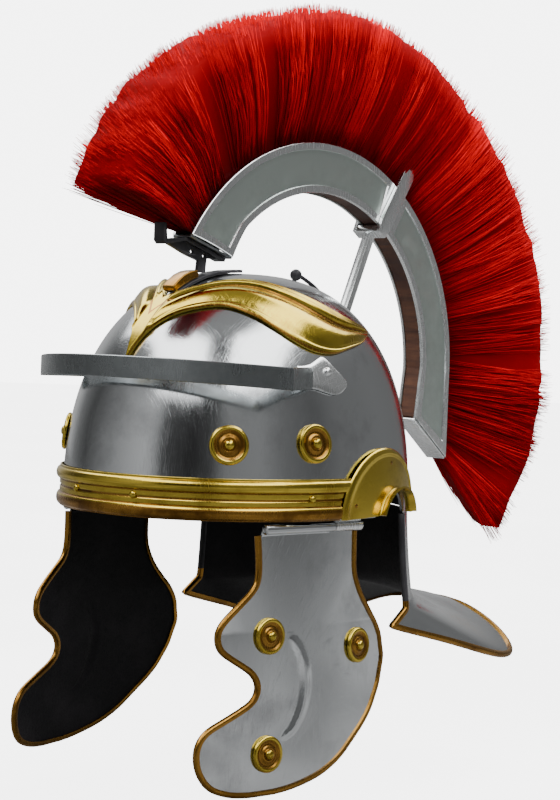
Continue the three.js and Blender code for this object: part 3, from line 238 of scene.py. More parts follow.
def build_worn_edges_and_hollow_shade():
    """Bright worn raised edges, and dark hollows as painted shade, from how sharply the surface turns."""
    group, inside, outside = new_group("worn_edges_and_hollow_shade", [("Spread", 1.0)], ["Edge", "Hollow"])
    shape = node(group, "ShaderNodeNewGeometry")
    grain = noise(group, 160.0, 3.0, 0.6)
    uneven = remap(group, grain.outputs["Fac"], 0.3, 0.7, 0.5, 1.0)
    edge = math_node(group, "MULTIPLY", remap(group, shape.outputs["Pointiness"], 0.52, 0.6), uneven)
    group.links.new(math_node(group, "MULTIPLY", edge, inside.outputs["Spread"]), outside.inputs["Edge"])
    hollow = math_node(group, "MULTIPLY", remap(group, shape.outputs["Pointiness"], 0.49, 0.42), uneven)
    group.links.new(math_node(group, "MULTIPLY", hollow, inside.outputs["Spread"]), outside.inputs["Hollow"])
    return group


GROUPS = {
    "scratches": build_scratches(),
    "clouds": build_clouds(),
    "ripple": build_ripple(),
    "edges": build_worn_edges_and_hollow_shade(),
}


def use_group(tree, key, **values):
    made = node(tree, "ShaderNodeGroup", node_tree=GROUPS[key])
    for label, value in values.items():
        made.inputs[label].default_value = value
    return made.outputs


def colour_mix(tree, factor, first, second):
    made = node(tree, "ShaderNodeMix", data_type="RGBA")
    tree.links.new(factor, made.inputs[0])
    for socket, value in ((made.inputs[6], first), (made.inputs[7], second)):
        if isinstance(value, tuple):
            socket.default_value = (*value, 1.0)
        else:
            tree.links.new(value, socket)
    return made.outputs[2]


def start_material(name, metallic):
    material = bpy.data.materials.new(name)
    material.use_nodes = True
    tree = material.node_tree
    shader = tree.nodes["Principled BSDF"]
    shader.inputs["Metallic"].default_value = metallic
    return material, tree, shader


def bump(tree, shader, height, strength, distance, before=None):
    made = node(tree, "ShaderNodeBump")
    made.inputs["Strength"].default_value = strength
    made.inputs["Distance"].default_value = distance
    tree.links.new(height, made.inputs["Height"])
    if before is not None:
        tree.links.new(before, made.inputs["Normal"])
    tree.links.new(made.outputs["Normal"], shader.inputs["Normal"])
    return made.outputs["Normal"]


def sheet_metal(name, bright, dull, smooth, rough, coverage, ripple, scratch, patch_scale, edge):
    """Metal sheet: a bright and a dulled colour in patches, polishing lines, worn edges and painted shade in
    its hollows.
    """
    material, tree, shader = start_material(name, 1.0)
    clouds = use_group(tree, "clouds", Scale=patch_scale, Coverage=coverage)
    scratches = use_group(tree, "scratches", Scale=1.0, Depth=1.0)
    edges = use_group(tree, "edges", Spread=edge)
    tone = colour_mix(tree, clouds["Mask"], bright, dull)
    # Hollows darken towards under half the dulled colour: painted shade.
    hollow = tuple(0.45 * c for c in dull)
    tone = colour_mix(tree, edges["Hollow"], tone, hollow)
    tone = colour_mix(tree, edges["Edge"], tone, tuple(min(1.0, 1.12 * c) for c in bright))
    tree.links.new(tone, shader.inputs["Base Color"])
    gloss = math_node(tree, "MULTIPLY_ADD", clouds["Mask"], rough - smooth)
    gloss.node.inputs[2].default_value = smooth
    lines = math_node(tree, "MULTIPLY_ADD", scratches["Mask"], 0.08)
    tree.links.new(gloss, lines.node.inputs[2])
    tree.links.new(lines, shader.inputs["Roughness"])
    wavy = bump(tree, shader, use_group(tree, "ripple", Scale=ripple[0])["Height"], ripple[1], 0.002)
    bump(tree, shader, scratches["Height"], scratch, 0.00012, wavy)
    return material


# Sheet metals: bright and dulled colour, the roughness of each, the share that has dulled, scale and
# strength of the ripple, strength of the scratches, scale of the patches, and wear of the edges with the
# painted shade in the hollows
SHEET_METALS = {
    "polished_steel": ((0.62, 0.64, 0.65), (0.42, 0.43, 0.44), 0.12, 0.22, 0.4, (13.0, 0.12), 0.1, 18.0, 0.5),
    "satin_steel": ((0.62, 0.7, 0.655), (0.46, 0.53, 0.49), 0.36, 0.5, 0.5, (30.0, 0.06), 0.25, 18.0, 0.5),
    "bright_steel": ((0.88, 0.9, 0.9), (0.66, 0.68, 0.68), 0.22, 0.34, 0.4, (30.0, 0.05), 0.15, 18.0, 0.5),
    # A darker copy of the steel: painted shade on the brow guard's strip and the crest box's front end.
    "dark_steel": ((0.28, 0.3, 0.305), (0.13, 0.14, 0.145), 0.26, 0.4, 0.5, (22.0, 0.12), 0.2, 18.0, 0.5),
    "brass": ((0.64, 0.47, 0.065), (0.27, 0.16, 0.016), 0.15, 0.3, 0.42, (26.0, 0.14), 0.12, 24.0, 0.9),
    # The darker brass is the edging's, ear rivets' and socket's own colour, and also painted shade on the
    # band, brow and rosettes.
    "dark_brass": ((0.36, 0.185, 0.036), (0.11, 0.046, 0.009), 0.22, 0.38, 0.5, (40.0, 0.1), 0.15, 40.0, 0.9),
}
# Thin coats: dark and light colour, roughness, scale and strength of the pits
COATS = {
    "black_iron": ((0.012, 0.012, 0.014), (0.035, 0.034, 0.037), 0.4, 260.0, 0.25),
    "black_paint": ((0.006, 0.0055, 0.0065), (0.016, 0.014, 0.016), 0.55, 420.0, 0.3),
}
# Dyed hair: share of the way from root to tip, and colour, darker towards the root as painted shade inside
# the mass
HAIR_STOPS = [
    (0.0, (0.14, 0.0, 0.003)),
    (0.25, (0.5, 0.0, 0.006)),
    (0.6, (0.7, 0.0, 0.008)),
    (1.0, (0.76, 0.0, 0.008)),
]
# The heart's hair is a darker copy of the fibres' colour: painted shade inside the plume.
HEART_SHADE_BRIGHTNESS = 0.35


def build_materials():
    made = {name: sheet_metal(name, *values) for name, values in SHEET_METALS.items()}
    for name, values in COATS.items():
        made[name] = painted(name, *values)
    made["stained_wood"] = wood()
    made["red_hair"] = hair("red_hair", 1.0)
    made["red_hair_heart"] = hair("red_hair_heart", HEART_SHADE_BRIGHTNESS)
    return made


def painted(name, dark, light, rough, grain_scale, grain):
    """A thin dark coat over metal, slightly pitted and rubbed pale along its edges."""
    material, tree, shader = start_material(name, 0.0)
    clouds = use_group(tree, "clouds", Scale=22.0, Coverage=0.45)
    edges = use_group(tree, "edges", Spread=0.7)
    tone = colour_mix(tree, clouds["Mask"], dark, light)
    tone = colour_mix(tree, edges["Edge"], tone, tuple(3.2 * c for c in light))
    tree.links.new(tone, shader.inputs["Base Color"])
    gloss = math_node(tree, "MULTIPLY_ADD", clouds["Speckle"], 0.16)
    gloss.node.inputs[2].default_value = rough
    tree.links.new(gloss, shader.inputs["Roughness"])
    shader.inputs["Specular IOR Level"].default_value = 0.3
    pits = noise(tree, grain_scale, 4.0, 0.6)
    bump(tree, shader, pits.outputs["Fac"], grain, 0.0006)
    return material


def wood():
    material, tree, shader = start_material("stained_wood", 0.0)
    grain = noise(tree, 30.0, 6.0, 0.65, (1, 9, 9), (0, 0.2, 0))
    clouds = use_group(tree, "clouds", Scale=30.0, Coverage=0.5)
    figure = remap(tree, grain.outputs["Fac"], 0.35, 0.65)
    tone = colour_mix(tree, figure, (0.055, 0.022, 0.014), (0.13, 0.055, 0.03))
    tone = colour_mix(tree, clouds["Mask"], tone, (0.05, 0.02, 0.015))
    tree.links.new(tone, shader.inputs["Base Color"])
    tree.links.new(remap(tree, grain.outputs["Fac"], 0.3, 0.7, 0.5, 0.7), shader.inputs["Roughness"])
    bump(tree, shader, grain.outputs["Fac"], 0.4, 0.0005)
    return material


def hair(name, brightness):
    """Dyed hair: saturated red towards the tips, darker towards the root as painted shade inside the mass,
    and a random tone per tuft.
    """
    material, tree, shader = start_material(name, 0.0)
    share = node(tree, "ShaderNodeAttribute", attribute_name="fibre_share")
    tuft = node(tree, "ShaderNodeAttribute", attribute_name="fibre_tone")
    ramp = node(tree, "ShaderNodeValToRGB")
    while len(ramp.color_ramp.elements) < len(HAIR_STOPS):
        ramp.color_ramp.elements.new(0.5)
    for element, (position, colour) in zip(ramp.color_ramp.elements, HAIR_STOPS):
        element.position = position
        element.color = (*(brightness * c for c in colour), 1.0)
    tree.links.new(share.outputs["Fac"], ramp.inputs["Fac"])
    dark = node(tree, "ShaderNodeMix", data_type="RGBA", blend_type="MULTIPLY")
    dark.inputs["Factor"].default_value = 1.0
    tree.links.new(ramp.outputs["Color"], dark.inputs[6])
    grey = node(tree, "ShaderNodeCombineColor")
    for channel in ("Red", "Green", "Blue"):
        tree.links.new(tuft.outputs["Fac"], grey.inputs[channel])
    tree.links.new(grey.outputs["Color"], dark.inputs[7])
    tree.links.new(dark.outputs[2], shader.inputs["Base Color"])
    fine = noise(tree, 1400.0, 2.0, 0.5, (1, 0.3, 0.3))
    tree.links.new(remap(tree, fine.outputs["Fac"], 0.3, 0.7, 0.55, 0.8), shader.inputs["Roughness"])
    bump(tree, shader, fine.outputs["Fac"], 0.3, 0.0004)
    shader.inputs["Specular IOR Level"].default_value = 0.06
    return material


MATERIALS = build_materials()


# Mesh making


def to_frame(points):
    """Millimetres above the rim to metres in the frame."""
    moved = np.asarray(points, float).reshape(-1, 3) * 0.001
    moved[:, 2] -= CROWN_INSIDE * 0.001
    return moved


def mirrored(points):
    return np.asarray(points, float) * np.array([-1.0, 1.0, 1.0])


def add_piece(
    name, points, faces, materials, body="helmet", hidden=(), picks=None, sharp=38.0, clean=True
):
    """Makes a piece from points in the frame and faces, and ties it to its body."""
    mesh = bpy.data.meshes.new(name)
    mesh.from_pydata(np.asarray(points, float).tolist(), [], [tuple(f) for f in faces])
    for key in materials:
        mesh.materials.append(MATERIALS[key])
    if picks is not None:
        mesh.polygons.foreach_set("material_index", np.asarray(picks, dtype=np.int32))
    if clean:
        work = bmesh.new()
        work.from_mesh(mesh)
        bmesh.ops.remove_doubles(work, verts=work.verts, dist=2e-6)
        bmesh.ops.dissolve_degenerate(work, edges=work.edges, dist=1e-6)
        bmesh.ops.recalc_face_normals(work, faces=work.faces)
        work.to_mesh(mesh)
        work.free()
    mesh.update()
    mesh.shade_smooth()
    mesh.set_sharp_from_angle(angle=math.radians(sharp))
    piece = bpy.data.objects.new(name, mesh)
    bpy.context.collection.objects.link(piece)
    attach(piece, body)
    if hidden:
        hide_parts(*hidden)
    return piece


def sheet(face, back, closes_round=False):
    """A closed sheet between two grids. Returns points, faces and which side each face is on."""
    rows, columns = face.shape[:2]
    points = np.concatenate([face.reshape(-1, 3), back.reshape(-1, 3)])
    half = rows * columns
    faces = []
    sides = []
    steps = columns if closes_round else columns - 1
    for r in range(rows - 1):
        for c in range(steps):
            a, b = r * columns + c, r * columns + (c + 1) % columns
            faces.append((a, b, b + columns, a + columns))
            faces.append((half + a, half + a + columns, half + b + columns, half + b))
            sides += [0, 1]
    last = (rows - 1) * columns
    for c in range(steps):
        d = (c + 1) % columns
        faces.append((c, half + c, half + d, d))
        faces.append((last + c, last + d, half + last + d, half + last + c))
        sides += [0, 0]
    if not closes_round:
        for r in range(rows - 1):
            a, b = r * columns, r * columns + steps
            faces.append((a, a + columns, half + a + columns, half + a))
            faces.append((b, half + b, half + b + columns, b + columns))
            sides += [0, 0]
    return points, faces, sides


def sweep(section, origins, across, up, closed=False):
    """A closed section of (across, up) pairs carried along a path."""
    size = len(section)
    count = len(origins)
    u = np.array([s[0] for s in section])[None, :, None]
    v = np.array([s[1] for s in section])[None, :, None]
    points = (origins[:, None, :] + across[:, None, :] * u + up[:, None, :] * v).reshape(-1, 3)
    faces = []
    for i in range(count if closed else count - 1):
        j = (i + 1) % count
        for k in range(size):
            m = (k + 1) % size
            faces.append((i * size + k, i * size + m, j * size + m, j * size + k))
    if not closed:
        faces.append(tuple(range(size)))
        faces.append(tuple((count - 1) * size + k for k in reversed(range(size))))
    return points, faces


def striped(levels, columns, stripes, total):
    """1 for the faces of a sheet's front whose row lies in a stripe, and 0 for the rest."""
    picks = []
    for low, high in zip(levels[:-1], levels[1:]):
        inside = any(start <= (low + high) / 2 <= end for start, end in stripes)
        picks += [int(inside), 0] * columns
    return picks + [0] * (total - len(picks))


def unit(vectors):
    return vectors / np.maximum(np.linalg.norm(vectors, axis=-1, keepdims=True), 1e-12)


def grid_normals(face):
    along = np.gradient(face, axis=1)
    down = np.gradient(face, axis=0)
    return unit(np.cross(along, down))


def spline(rows, count):
    """Points on a smooth curve through rows of numbers, evenly spread in row number."""
    rows = np.asarray(rows, float)
    padded = np.vstack([2 * rows[0] - rows[1], rows, 2 * rows[-1] - rows[-2]])
    at = np.linspace(0, len(rows) - 1, count)
    index = np.minimum(at.astype(int), len(rows) - 2)
    t = (at - index)[:, None]
    p0, p1, p2, p3 = (padded[index + k] for k in range(4))
    square = 2 * p0 - 5 * p1 + 4 * p2 - p3
    cube = 3 * p1 - p0 - 3 * p2 + p3
    return 0.5 * (2 * p1 + (p2 - p0) * t + square * t**2 + cube * t**3)


def path_frames(path, normals):
    """Directions square to a path: one across it in the sheet, one along the sheet's normal."""
    along = unit(np.gradient(path, axis=0))
    up = unit(normals - along * np.sum(normals * along, axis=1, keepdims=True))
    return np.cross(along, up), up


def eased(path, passes):
    """Rounds the corners of a path a little, with its ends kept."""
    path = path.copy()
    for _ in range(passes):
        path[1:-1] = 0.25 * path[:-2] + 0.5 * path[1:-1] + 0.25 * path[2:]
    return path


def joined(*parts):
    """Several point and face lists as one."""
    points = []
    faces = []
    start = 0
    for part_points, part_faces in parts:
        points.append(np.asarray(part_points, float).reshape(-1, 3))
        faces += [tuple(start + i for i in face) for face in part_faces]
        start += len(points[-1])
    return np.concatenate(points), faces


def turned(profile, sides):
    """A turned shape with its base at height zero, from (radius, height) pairs."""
    turn = np.linspace(0, 2 * math.pi, sides, endpoint=False)
    points = []
    for radius, height in profile:
        points += [(radius * math.cos(a), radius * math.sin(a), height) for a in turn]
    faces = []
    for r in range(len(profile) - 1):
        for c in range(sides):
            d = (c + 1) % sides
            faces.append((r * sides + c, r * sides + d, (r + 1) * sides + d, (r + 1) * sides + c))
    faces.append(tuple(reversed(range(sides))))
    return np.array(points), faces


def stood(points, spot, direction):
    """Puts a turned shape on a spot with its axis along a direction."""
    turn = Vector((0, 0, 1)).rotation_difference(Vector(direction)).to_matrix()
    return np.asarray(points) @ np.array(turn).T + np.asarray(spot)


# The bowl's surface


def signed_power(value, power):
    return np.sign(value) * np.abs(value) ** power


def plan(turn, share=1.0):
    power = 2 / PLAN_POWER
    return (
        HALF_WIDTH * share * signed_power(np.cos(turn), power),
        HALF_LENGTH * share * signed_power(np.sin(turn), power),
    )


def plan_share(z):
    return (1 - np.clip(z / HEIGHT, 0, 1) ** SIDE_POWER) ** (1 / SIDE_POWER)


def bowl_normal(x, y, z):
    m, n = PLAN_POWER, SIDE_POWER
    a, b = np.abs(x) / HALF_WIDTH, np.abs(y) / HALF_LENGTH
    spread = np.maximum(a**m + b**m, 1e-9) ** (n / m - 1)
    nx = spread * a ** (m - 1) / HALF_WIDTH * np.sign(x)
    ny = spread * b ** (m - 1) / HALF_LENGTH * np.sign(y)
    nz = np.maximum(z / HEIGHT, 0) ** (n - 1) / HEIGHT
    return unit(np.stack([nx, ny, nz], axis=-1))


def bowl_rise(x, y):
    m, n = PLAN_POWER, SIDE_POWER
    reach = ((np.abs(x) / HALF_WIDTH) ** m + (np.abs(y) / HALF_LENGTH) ** m) ** (1 / m)
    return HEIGHT * (1 - np.minimum(1, reach) ** n) ** (1 / n)


def bowl_side(y, z):
    share = plan_share(z) ** PLAN_POWER - (np.abs(y) / HALF_LENGTH) ** PLAN_POWER
    return HALF_WIDTH * np.maximum(0, share) ** (1 / PLAN_POWER)


def over_crown(x, y, out):
    x, y = np.asarray(x, float), np.asarray(y, float)
    z = bowl_rise(x, y)
    return np.stack([x, y, z], axis=-1) + bowl_normal(x, y, z) * np.asarray(out)[..., None]


def over_side(y, z, out):
    y, z = np.asarray(y, float), np.asarray(z, float)
    x = bowl_side(y, z)
    return np.stack([x, y, z], axis=-1) + bowl_normal(x, y, z) * np.asarray(out)[..., None]


# Bowl, nape and neck guard


def bowl():
    around, rings = 200, 56
    turn = (np.arange(around) + 0.5) * 2 * math.pi / around
    _, y = plan(turn)
    reach = EAR_RADIUS**2 - (y - EAR_Y) ** 2
    lowest = np.maximum(np.sqrt(np.maximum(reach, 0)) - EAR_DROP, 0)
    first = np.arcsin((lowest / HEIGHT) ** (SIDE_POWER / 2))
    lift = first[None, :] + (math.pi / 2 - first[None, :]) * np.linspace(0, 1, rings)[:, None]
    z = HEIGHT * np.sin(lift) ** (2 / SIDE_POWER)
    share = np.maximum(np.cos(lift), 0) ** (2 / SIDE_POWER)
    share[-1] = 0
    x, y = plan(turn[None, :], share)
    face = np.stack([x, y, z], axis=-1)
    back = face - bowl_normal(x, y, z) * WALL
    points, faces, sides = sheet(face, back, True)
    add_piece(
        "bowl_shell", to_frame(points), faces, ["polished_steel", "black_paint"],
        hidden=["bowl"], picks=sides, sharp=50,
    )


NAPE_EDGE = EAR_Y + EAR_RADIUS


def nape_point(turn, share):
    x, y = plan(turn)
    out = bowl_normal(x, y, np.zeros_like(x))
    depth = NAPE_DEPTH + NAPE_SIDE_EXTRA * np.cos(turn) ** 2
    z = -0.6 - (depth - 0.6) * share
    flare = NAPE_FLARE * (0.5 * share + 0.6 * share**2)
    return np.stack([x, y, z + 0 * x], axis=-1) + out * flare[..., None]


def neck_rim(share):
    turn = math.pi * share
    power = 2 / NECK_POWER
    back = np.abs(np.sin(turn)) ** power
    y = NAPE_EDGE - NECK_FRONT_INSET + (HALF_LENGTH + NECK_REACH - NAPE_EDGE + NECK_FRONT_INSET) * back
    half = NECK_FRONT_HALF_WIDTH + (NECK_HALF_WIDTH - NECK_FRONT_HALF_WIDTH) * back
    x = half * signed_power(np.cos(turn), power)
    drop = NAPE_DEPTH + NECK_DROP + NECK_CAMBER * back * (x / NECK_HALF_WIDTH) ** 2
    return np.stack([x, y, -drop], axis=-1)


def neck_grid():
    first = math.asin((NAPE_EDGE / HALF_LENGTH) ** (PLAN_POWER / 2))
    share = np.linspace(0, 1, 121)
    turn = first + (math.pi - 2 * first) * share
    wall = [nape_point(turn, s + 0 * turn) for s in np.linspace(0, 0.88, 16)]
    foot = nape_point(turn, 1 + 0 * turn)
    rim = neck_rim(share)
    start, end = wall[-1], foot + (rim - foot) * 0.08
    bend = [start * (1 - t) ** 2 + foot * 2 * t * (1 - t) + end * t**2 for t in np.linspace(0, 1, 9)[1:]]
    flange = [foot + (rim - foot) * s for s in np.linspace(0.08, 1, 26)[1:]]
    return np.stack(wall + bend + flange)


def rolled_section(half, reach, lip):
    """A half-round roll on the border of a sheet, from one lip to the other."""
    turns = np.linspace(-math.pi / 2, math.pi / 2, 9)
    arc = [(reach - half + half * math.cos(a), half * math.sin(a)) for a in turns]
    return [(-lip, -half * 0.86), *arc, (-lip, half * 0.86)]


def border(face, back):
    def walk(g):
        return np.concatenate([g[:-1, 0], g[-1, :], g[:-1, -1][::-1]])

    path = 0.5 * (walk(face) + walk(back))
    return path, unit(walk(face) - walk(back))


def neck_guard():
    face = neck_grid()
    back = face + grid_normals(face) * WALL
    points, faces, sides = sheet(face, back)
    add_piece(
        "neck_guard_sheet", to_frame(points), faces, ["polished_steel", "black_paint"],
        hidden=["neck_guard"], picks=sides, sharp=45,
    )
    path, normals = border(face, back)
    path = eased(path, 2)
    across, up = path_frames(path, normals)
    section = rolled_section(2.15, 1.5, 2.4)
    points, faces = sweep(section, path, across, up)
    # The roll up the nape wall's front edges, and its two ends, get black iron in place of brass: painted
    # shade.
    upright_in_painted_shade = path[:-1, 2] > 1 - NAPE_DEPTH
    picks = np.concatenate([np.repeat(upright_in_painted_shade, len(section)), [True, True]])
    add_piece(
        "neck_guard_roll", to_frame(points), faces, ["dark_brass", "black_iron"],
        hidden=["neck_guard_edging"], picks=picks, sharp=50,
    )


# Rim band and ear guards


def bead(z, middle, half, height):
    t = np.clip(np.abs(z - middle) / half, 0, 1)
    return height * np.sqrt(np.maximum(0, 1 - t**2))


BAND_SHEET = 1.7
# Ribs of the band, and the groove between them: middle, half height and how far each stands out
BAND_BEADS = ((4.6, 3.9, 2.1), (20.4, 3.6, 2.3), (12.6, 0.9, -0.5))
# Heights on the band that get the darker brass as painted shade, low and high in each pair
BAND_PAINTED_SHADE = ((-1.0, 6.8), (8.0, 9.2), (11.9, 13.3), (16.0, 17.2))


def rim_band():
    z = np.concatenate([[0, 0.25], np.linspace(0.6, BAND_HEIGHT - 0.5, 70), [BAND_HEIGHT - 0.2, BAND_HEIGHT]])
    out = BAND_SHEET
    for middle, half, height in BAND_BEADS:
        out = out + bead(z, middle, half, height)
    out[0] -= 0.35
    out[-1] -= 0.35
    end = EAR_GUARD_Y - (EAR_GUARD_LENGTH + 0.9) * np.sqrt(1 - (z / (EAR_GUARD_HEIGHT + 0.9)) ** 2)
    end_turn = np.arcsin((np.abs(end) / HALF_LENGTH) ** (PLAN_POWER / 2)) * np.sign(end)
    share = np.linspace(0, 1, 201)
    turn = end_turn[:, None] + (-math.pi - 2 * end_turn[:, None]) * share[None, :]
    x, y = plan(turn)
    flat = bowl_normal(x, y, np.zeros_like(x))
    base = np.stack([x, y, np.broadcast_to(z[:, None], x.shape)], axis=-1)
    face = base + flat * out[:, None, None]
    back = base + flat * 0.6
    points, faces, _ = sheet(face, back)
    # Faces in the stripes take the darker brass: painted shade.
    picks = striped(z, face.shape[1] - 1, BAND_PAINTED_SHADE, len(faces))
    add_piece(
        "rim_band_strip", to_frame(points), faces, ["brass", "dark_brass"], hidden=["rim_band"],
        picks=picks, sharp=45,
    )


def dome(radius, height):
    turns = np.linspace(0, math.pi / 2, 8)
    return [(radius, 0), (radius, height * 0.15)] + [
        (max(0.001, radius * 0.97 * math.cos(a)), height * (0.15 + 0.85 * math.sin(a))) for a in turns
    ]


def ear_guard():
    """The plate over the ear with its flared lip, on the wearer's left."""
    share = np.linspace(0, 1, 97)
    outer_turn = math.pi * (1 - share)
    start = math.asin(EAR_DROP / EAR_RADIUS) + 0.06
    inner_turn = math.pi - start - (math.pi - 2 * start) * share
    outer = np.stack(
        [
            EAR_GUARD_Y + (EAR_GUARD_LENGTH - 0.3) * np.cos(outer_turn),
            EAR_GUARD_HEIGHT * np.sin(outer_turn),
        ],
        axis=-1,
    )
    inner = np.stack(
        [EAR_Y + EAR_RADIUS * np.cos(inner_turn), -EAR_DROP + EAR_RADIUS * np.sin(inner_turn)], axis=-1
    )
    rows = []
    for s in np.concatenate([[0, 0.012], np.linspace(0.03, 0.9, 24)]):
        flat = outer + (inner - outer) * s
        out = 2.0 + 0.9 * math.exp(-(((s - 0.07) / 0.05) ** 2)) - (0.3 if s == 0 else 0)
        rows.append(over_side(flat[:, 0], flat[:, 1], out + 0 * flat[:, 0]))
    corner = over_side(inner[:, 0], inner[:, 1], 2.0 + 0 * inner[:, 0])
    lip_end = over_side(inner[:, 0], inner[:, 1], EAR_FLANGE - 0.2 + 0 * inner[:, 0])
    away = np.stack([0 * inner_turn, np.cos(inner_turn), np.sin(inner_turn)], axis=-1)
    begin, end = rows[-1], corner + (lip_end - corner) * 0.45 + away * 0.3
    for t in np.linspace(0, 1, 8)[1:]:
        rows.append(begin * (1 - t) ** 2 + corner * 2 * t * (1 - t) + end * t**2)
    for t in np.linspace(0, 1, 7)[1:]:
        rows.append(end + (lip_end + away * 1.6 - end) * t)
    face = np.stack(rows)
    back = face - grid_normals(face) * 1.3
    points, faces, _ = sheet(face, back)
    return points, faces


def ear_guards():
    points, faces = ear_guard()
    for side, place in (("left", points), ("right", mirrored(points))):
        add_piece(
            f"ear_guard_plate_{side}", to_frame(place), faces, ["brass"],
            hidden=[f"ear_guard_{side}"], sharp=45,
        )


# Rosettes and rivets


def rosette_profile(radius):
    rim = [(0.9, 0.0), (0.975, 0.05), (1.0, 0.14), (0.985, 0.26), (0.93, 0.36), (0.86, 0.40)]
    dish = [(0.78, 0.36), (0.70, 0.26), (0.62, 0.21), (0.53, 0.22), (0.46, 0.30), (0.40, 0.37), (0.34, 0.37)]
    knob = [(0.30, 0.34), (0.27, 0.38), (0.265, 0.48), (0.24, 0.6), (0.18, 0.70), (0.09, 0.755)]
    tip = [(0.001, 0.77)]
    height = radius * 0.56
    return [(r * radius, h * height) for r, h in rim + dish + knob + tip]


def dish_picks(faces, points, radius):
    """1 for the faces in a rosette's hollow ring, which get the darker brass as painted shade, and 0 for the
    rest.
    """
    reach = np.hypot(points[:, 0], points[:, 1]) / radius
    return [int(0.27 < np.mean([reach[i] for i in face]) < 0.8 and len(face) == 4) for face in faces]


def add_stood(name, node_name, shape, spot, direction, material, body="helmet", picks=None):
    points, faces = shape
    placed = stood(points, spot, direction)
    # Picked faces take the darker brass: painted shade in the hollow ring.
    materials = [material] if picks is None else [material, "dark_brass"]
    return add_piece(
        name, to_frame(placed), faces, materials, body=body, hidden=[node_name], picks=picks, sharp=45,
    )


def stood_pair(stem, shape, spot, direction, material, picks=None):
    flip = np.array([-1.0, 1.0, 1.0])
    for side, turn in (("left", 1.0), ("right", flip)):
        add_stood(
            f"{stem}_head_{side}", f"{stem}_{side}", shape, spot * turn, direction * turn, material,
            picks=picks,
        )


def bowl_fastenings():
    rivet = turned(dome(2.4, 2.0), 24)
    for stem, degrees in (("band_rivet_brow", -77), ("band_rivet_side", -18)):
        x, y = (float(v) for v in plan(np.array(math.radians(degrees))))
        out = bowl_normal(np.array(x), np.array(y), np.array(0.0))
        spot = np.array([x, y, BAND_HEIGHT * 0.53]) + out * 1.5
        stood_pair(stem, rivet, spot, out, "brass")
    rivet = turned(dome(2.2, 1.8), 24)
    for stem, y, z in (("ear_rivet_upper", 0.27, 0.8), ("ear_rivet_lower", -0.045, 0.2)):
        y, z = y * HALF_LENGTH, z * EAR_GUARD_HEIGHT
        out = bowl_normal(bowl_side(y, z), np.array(y), np.array(z))
        stood_pair(stem, rivet, over_side(y, z, 1.9), out, "dark_brass")
    y, z = -0.165 * HALF_LENGTH, BROW_GUARD_Z + 0.74 * BROW_GUARD_HEIGHT
    out = bowl_normal(bowl_side(y, z), np.array(y), np.array(z))
    rivet = turned(dome(2.8, 2.4), 24)
    stood_pair("brow_rivet", rivet, over_side(y, z, 2.4), out, "bright_steel")
    rosette = turned(rosette_profile(12.0), 48)
    for stem, y, z in (("bowl_rosette_front", -0.71, 0.3), ("bowl_rosette_rear", -0.3, 0.31)):
        y, z = y * HALF_LENGTH, z * HEIGHT
        out = bowl_normal(bowl_side(y, z), np.array(y), np.array(z))
        picks = dish_picks(rosette[1], rosette[0], 12.0)
        stood_pair(stem, rosette, over_side(y, z, 0.3), out, "brass", picks)


# Brow plate and brow guard

BROW_STATIONS = [
    (0, -0.862, 0, -0.6),
    (0.06, -0.772, 0.07, -0.54),
    (0.16, -0.684, 0.17, -0.435),
    (0.28, -0.6, 0.27, -0.3),
    (0.4, -0.512, 0.38, -0.19),
    (0.54, -0.436, 0.5, -0.085),
    (0.65, -0.37, 0.575, 0.005),
    (0.745, -0.284, 0.62, 0.08),
    (0.805, -0.17, 0.65, 0.16),
    (0.818, -0.02, 0.66, 0.24),
    (0.77, 0.19, 0.65, 0.32),
    (0.68, 0.345, 0.645, 0.37),
]
# Relief across a brow: share of the way from the low edge to the high edge, and height in mm
BROW_RELIEF = [
    (0, 0.9),
    (0.02, 1.5),
    (0.05, 2.1),
    (0.09, 1.9),
    (0.17, 3.2),
    (0.3, 4.4),
    (0.42, 4.0),
    (0.52, 2.7),
    (0.6, 1.5),
    (0.635, 1.0),
    (0.66, 1.5),
    (0.7, 3.3),
    (0.76, 3.7),
    (0.81, 2.6),
    (0.84, 1.6),
    (0.92, 1.8),
    (0.97, 1.9),
    (1.0, 0.9),
]
# Shares of the way across a brow that get the darker brass as painted shade, along its groove and low edge,
# low and high in each pair
BROW_PAINTED_SHADE = ((-0.1, 0.025), (0.585, 0.665))
NOSE_HALF = 6.5


def brow_plate():
    half = spline(BROW_STATIONS, 76)
    half[0, [0, 2]] = 0
    other = half[1:][::-1] * np.array([-1, 1, -1, 1])
    stations = np.concatenate([other, half])
    relief = spline(BROW_RELIEF, 71)
    share = np.clip(relief[:, 0], 0, 1)[:, None]
    x = HALF_WIDTH * (stations[None, :, 0] * (1 - share) + stations[None, :, 2] * share)
    y = HALF_LENGTH * (stations[None, :, 1] * (1 - share) + stations[None, :, 3] * share)
    fade = np.clip(np.minimum(np.arange(len(stations)), np.arange(len(stations))[::-1]) / 14, 0, 1) ** 0.6
    lift = (relief[:, 1][:, None] - 1.0) * fade[None, :]
    away = np.abs(x)
    nose = np.clip((NOSE_HALF + 1.2 - away) / 1.2, 0, 1)
    flat = 1.5 * np.clip(np.minimum(share, 1 - share) / 0.05, 0, 1)
    flat = flat + 1.1 * np.exp(-(((away - NOSE_HALF) / 0.9) ** 2))
    height = 1.8 + lift * (1 - nose) + flat * nose
    face = over_crown(x, y, height)
    back = over_crown(x, y, 0.5 + 0 * x)
    points, faces, _ = sheet(face, back)
    # Faces in the stripes take the darker brass: painted shade.
    picks = striped(share[:, 0], face.shape[1] - 1, BROW_PAINTED_SHADE, len(faces))
    add_piece(
        "brow_plate_sheet", to_frame(points), faces, ["brass", "dark_brass"], hidden=["brow_plate"],
        picks=picks, sharp=40,
    )


BROW_TAB = [
    (-0.335, 0.02, 0.97),
    (-0.3, 0.0, 0.98),
    (-0.25, -0.03, 1.08),
    (-0.2, -0.14, 1.3),
    (-0.165, -0.22, 1.4),
    (-0.13, -0.26, 1.2),
    (-0.1, -0.2, 0.92),
    (-0.07, -0.06, 0.66),
    (-0.047, 0.1, 0.4),
    (-0.043, 0.2, 0.3),
]


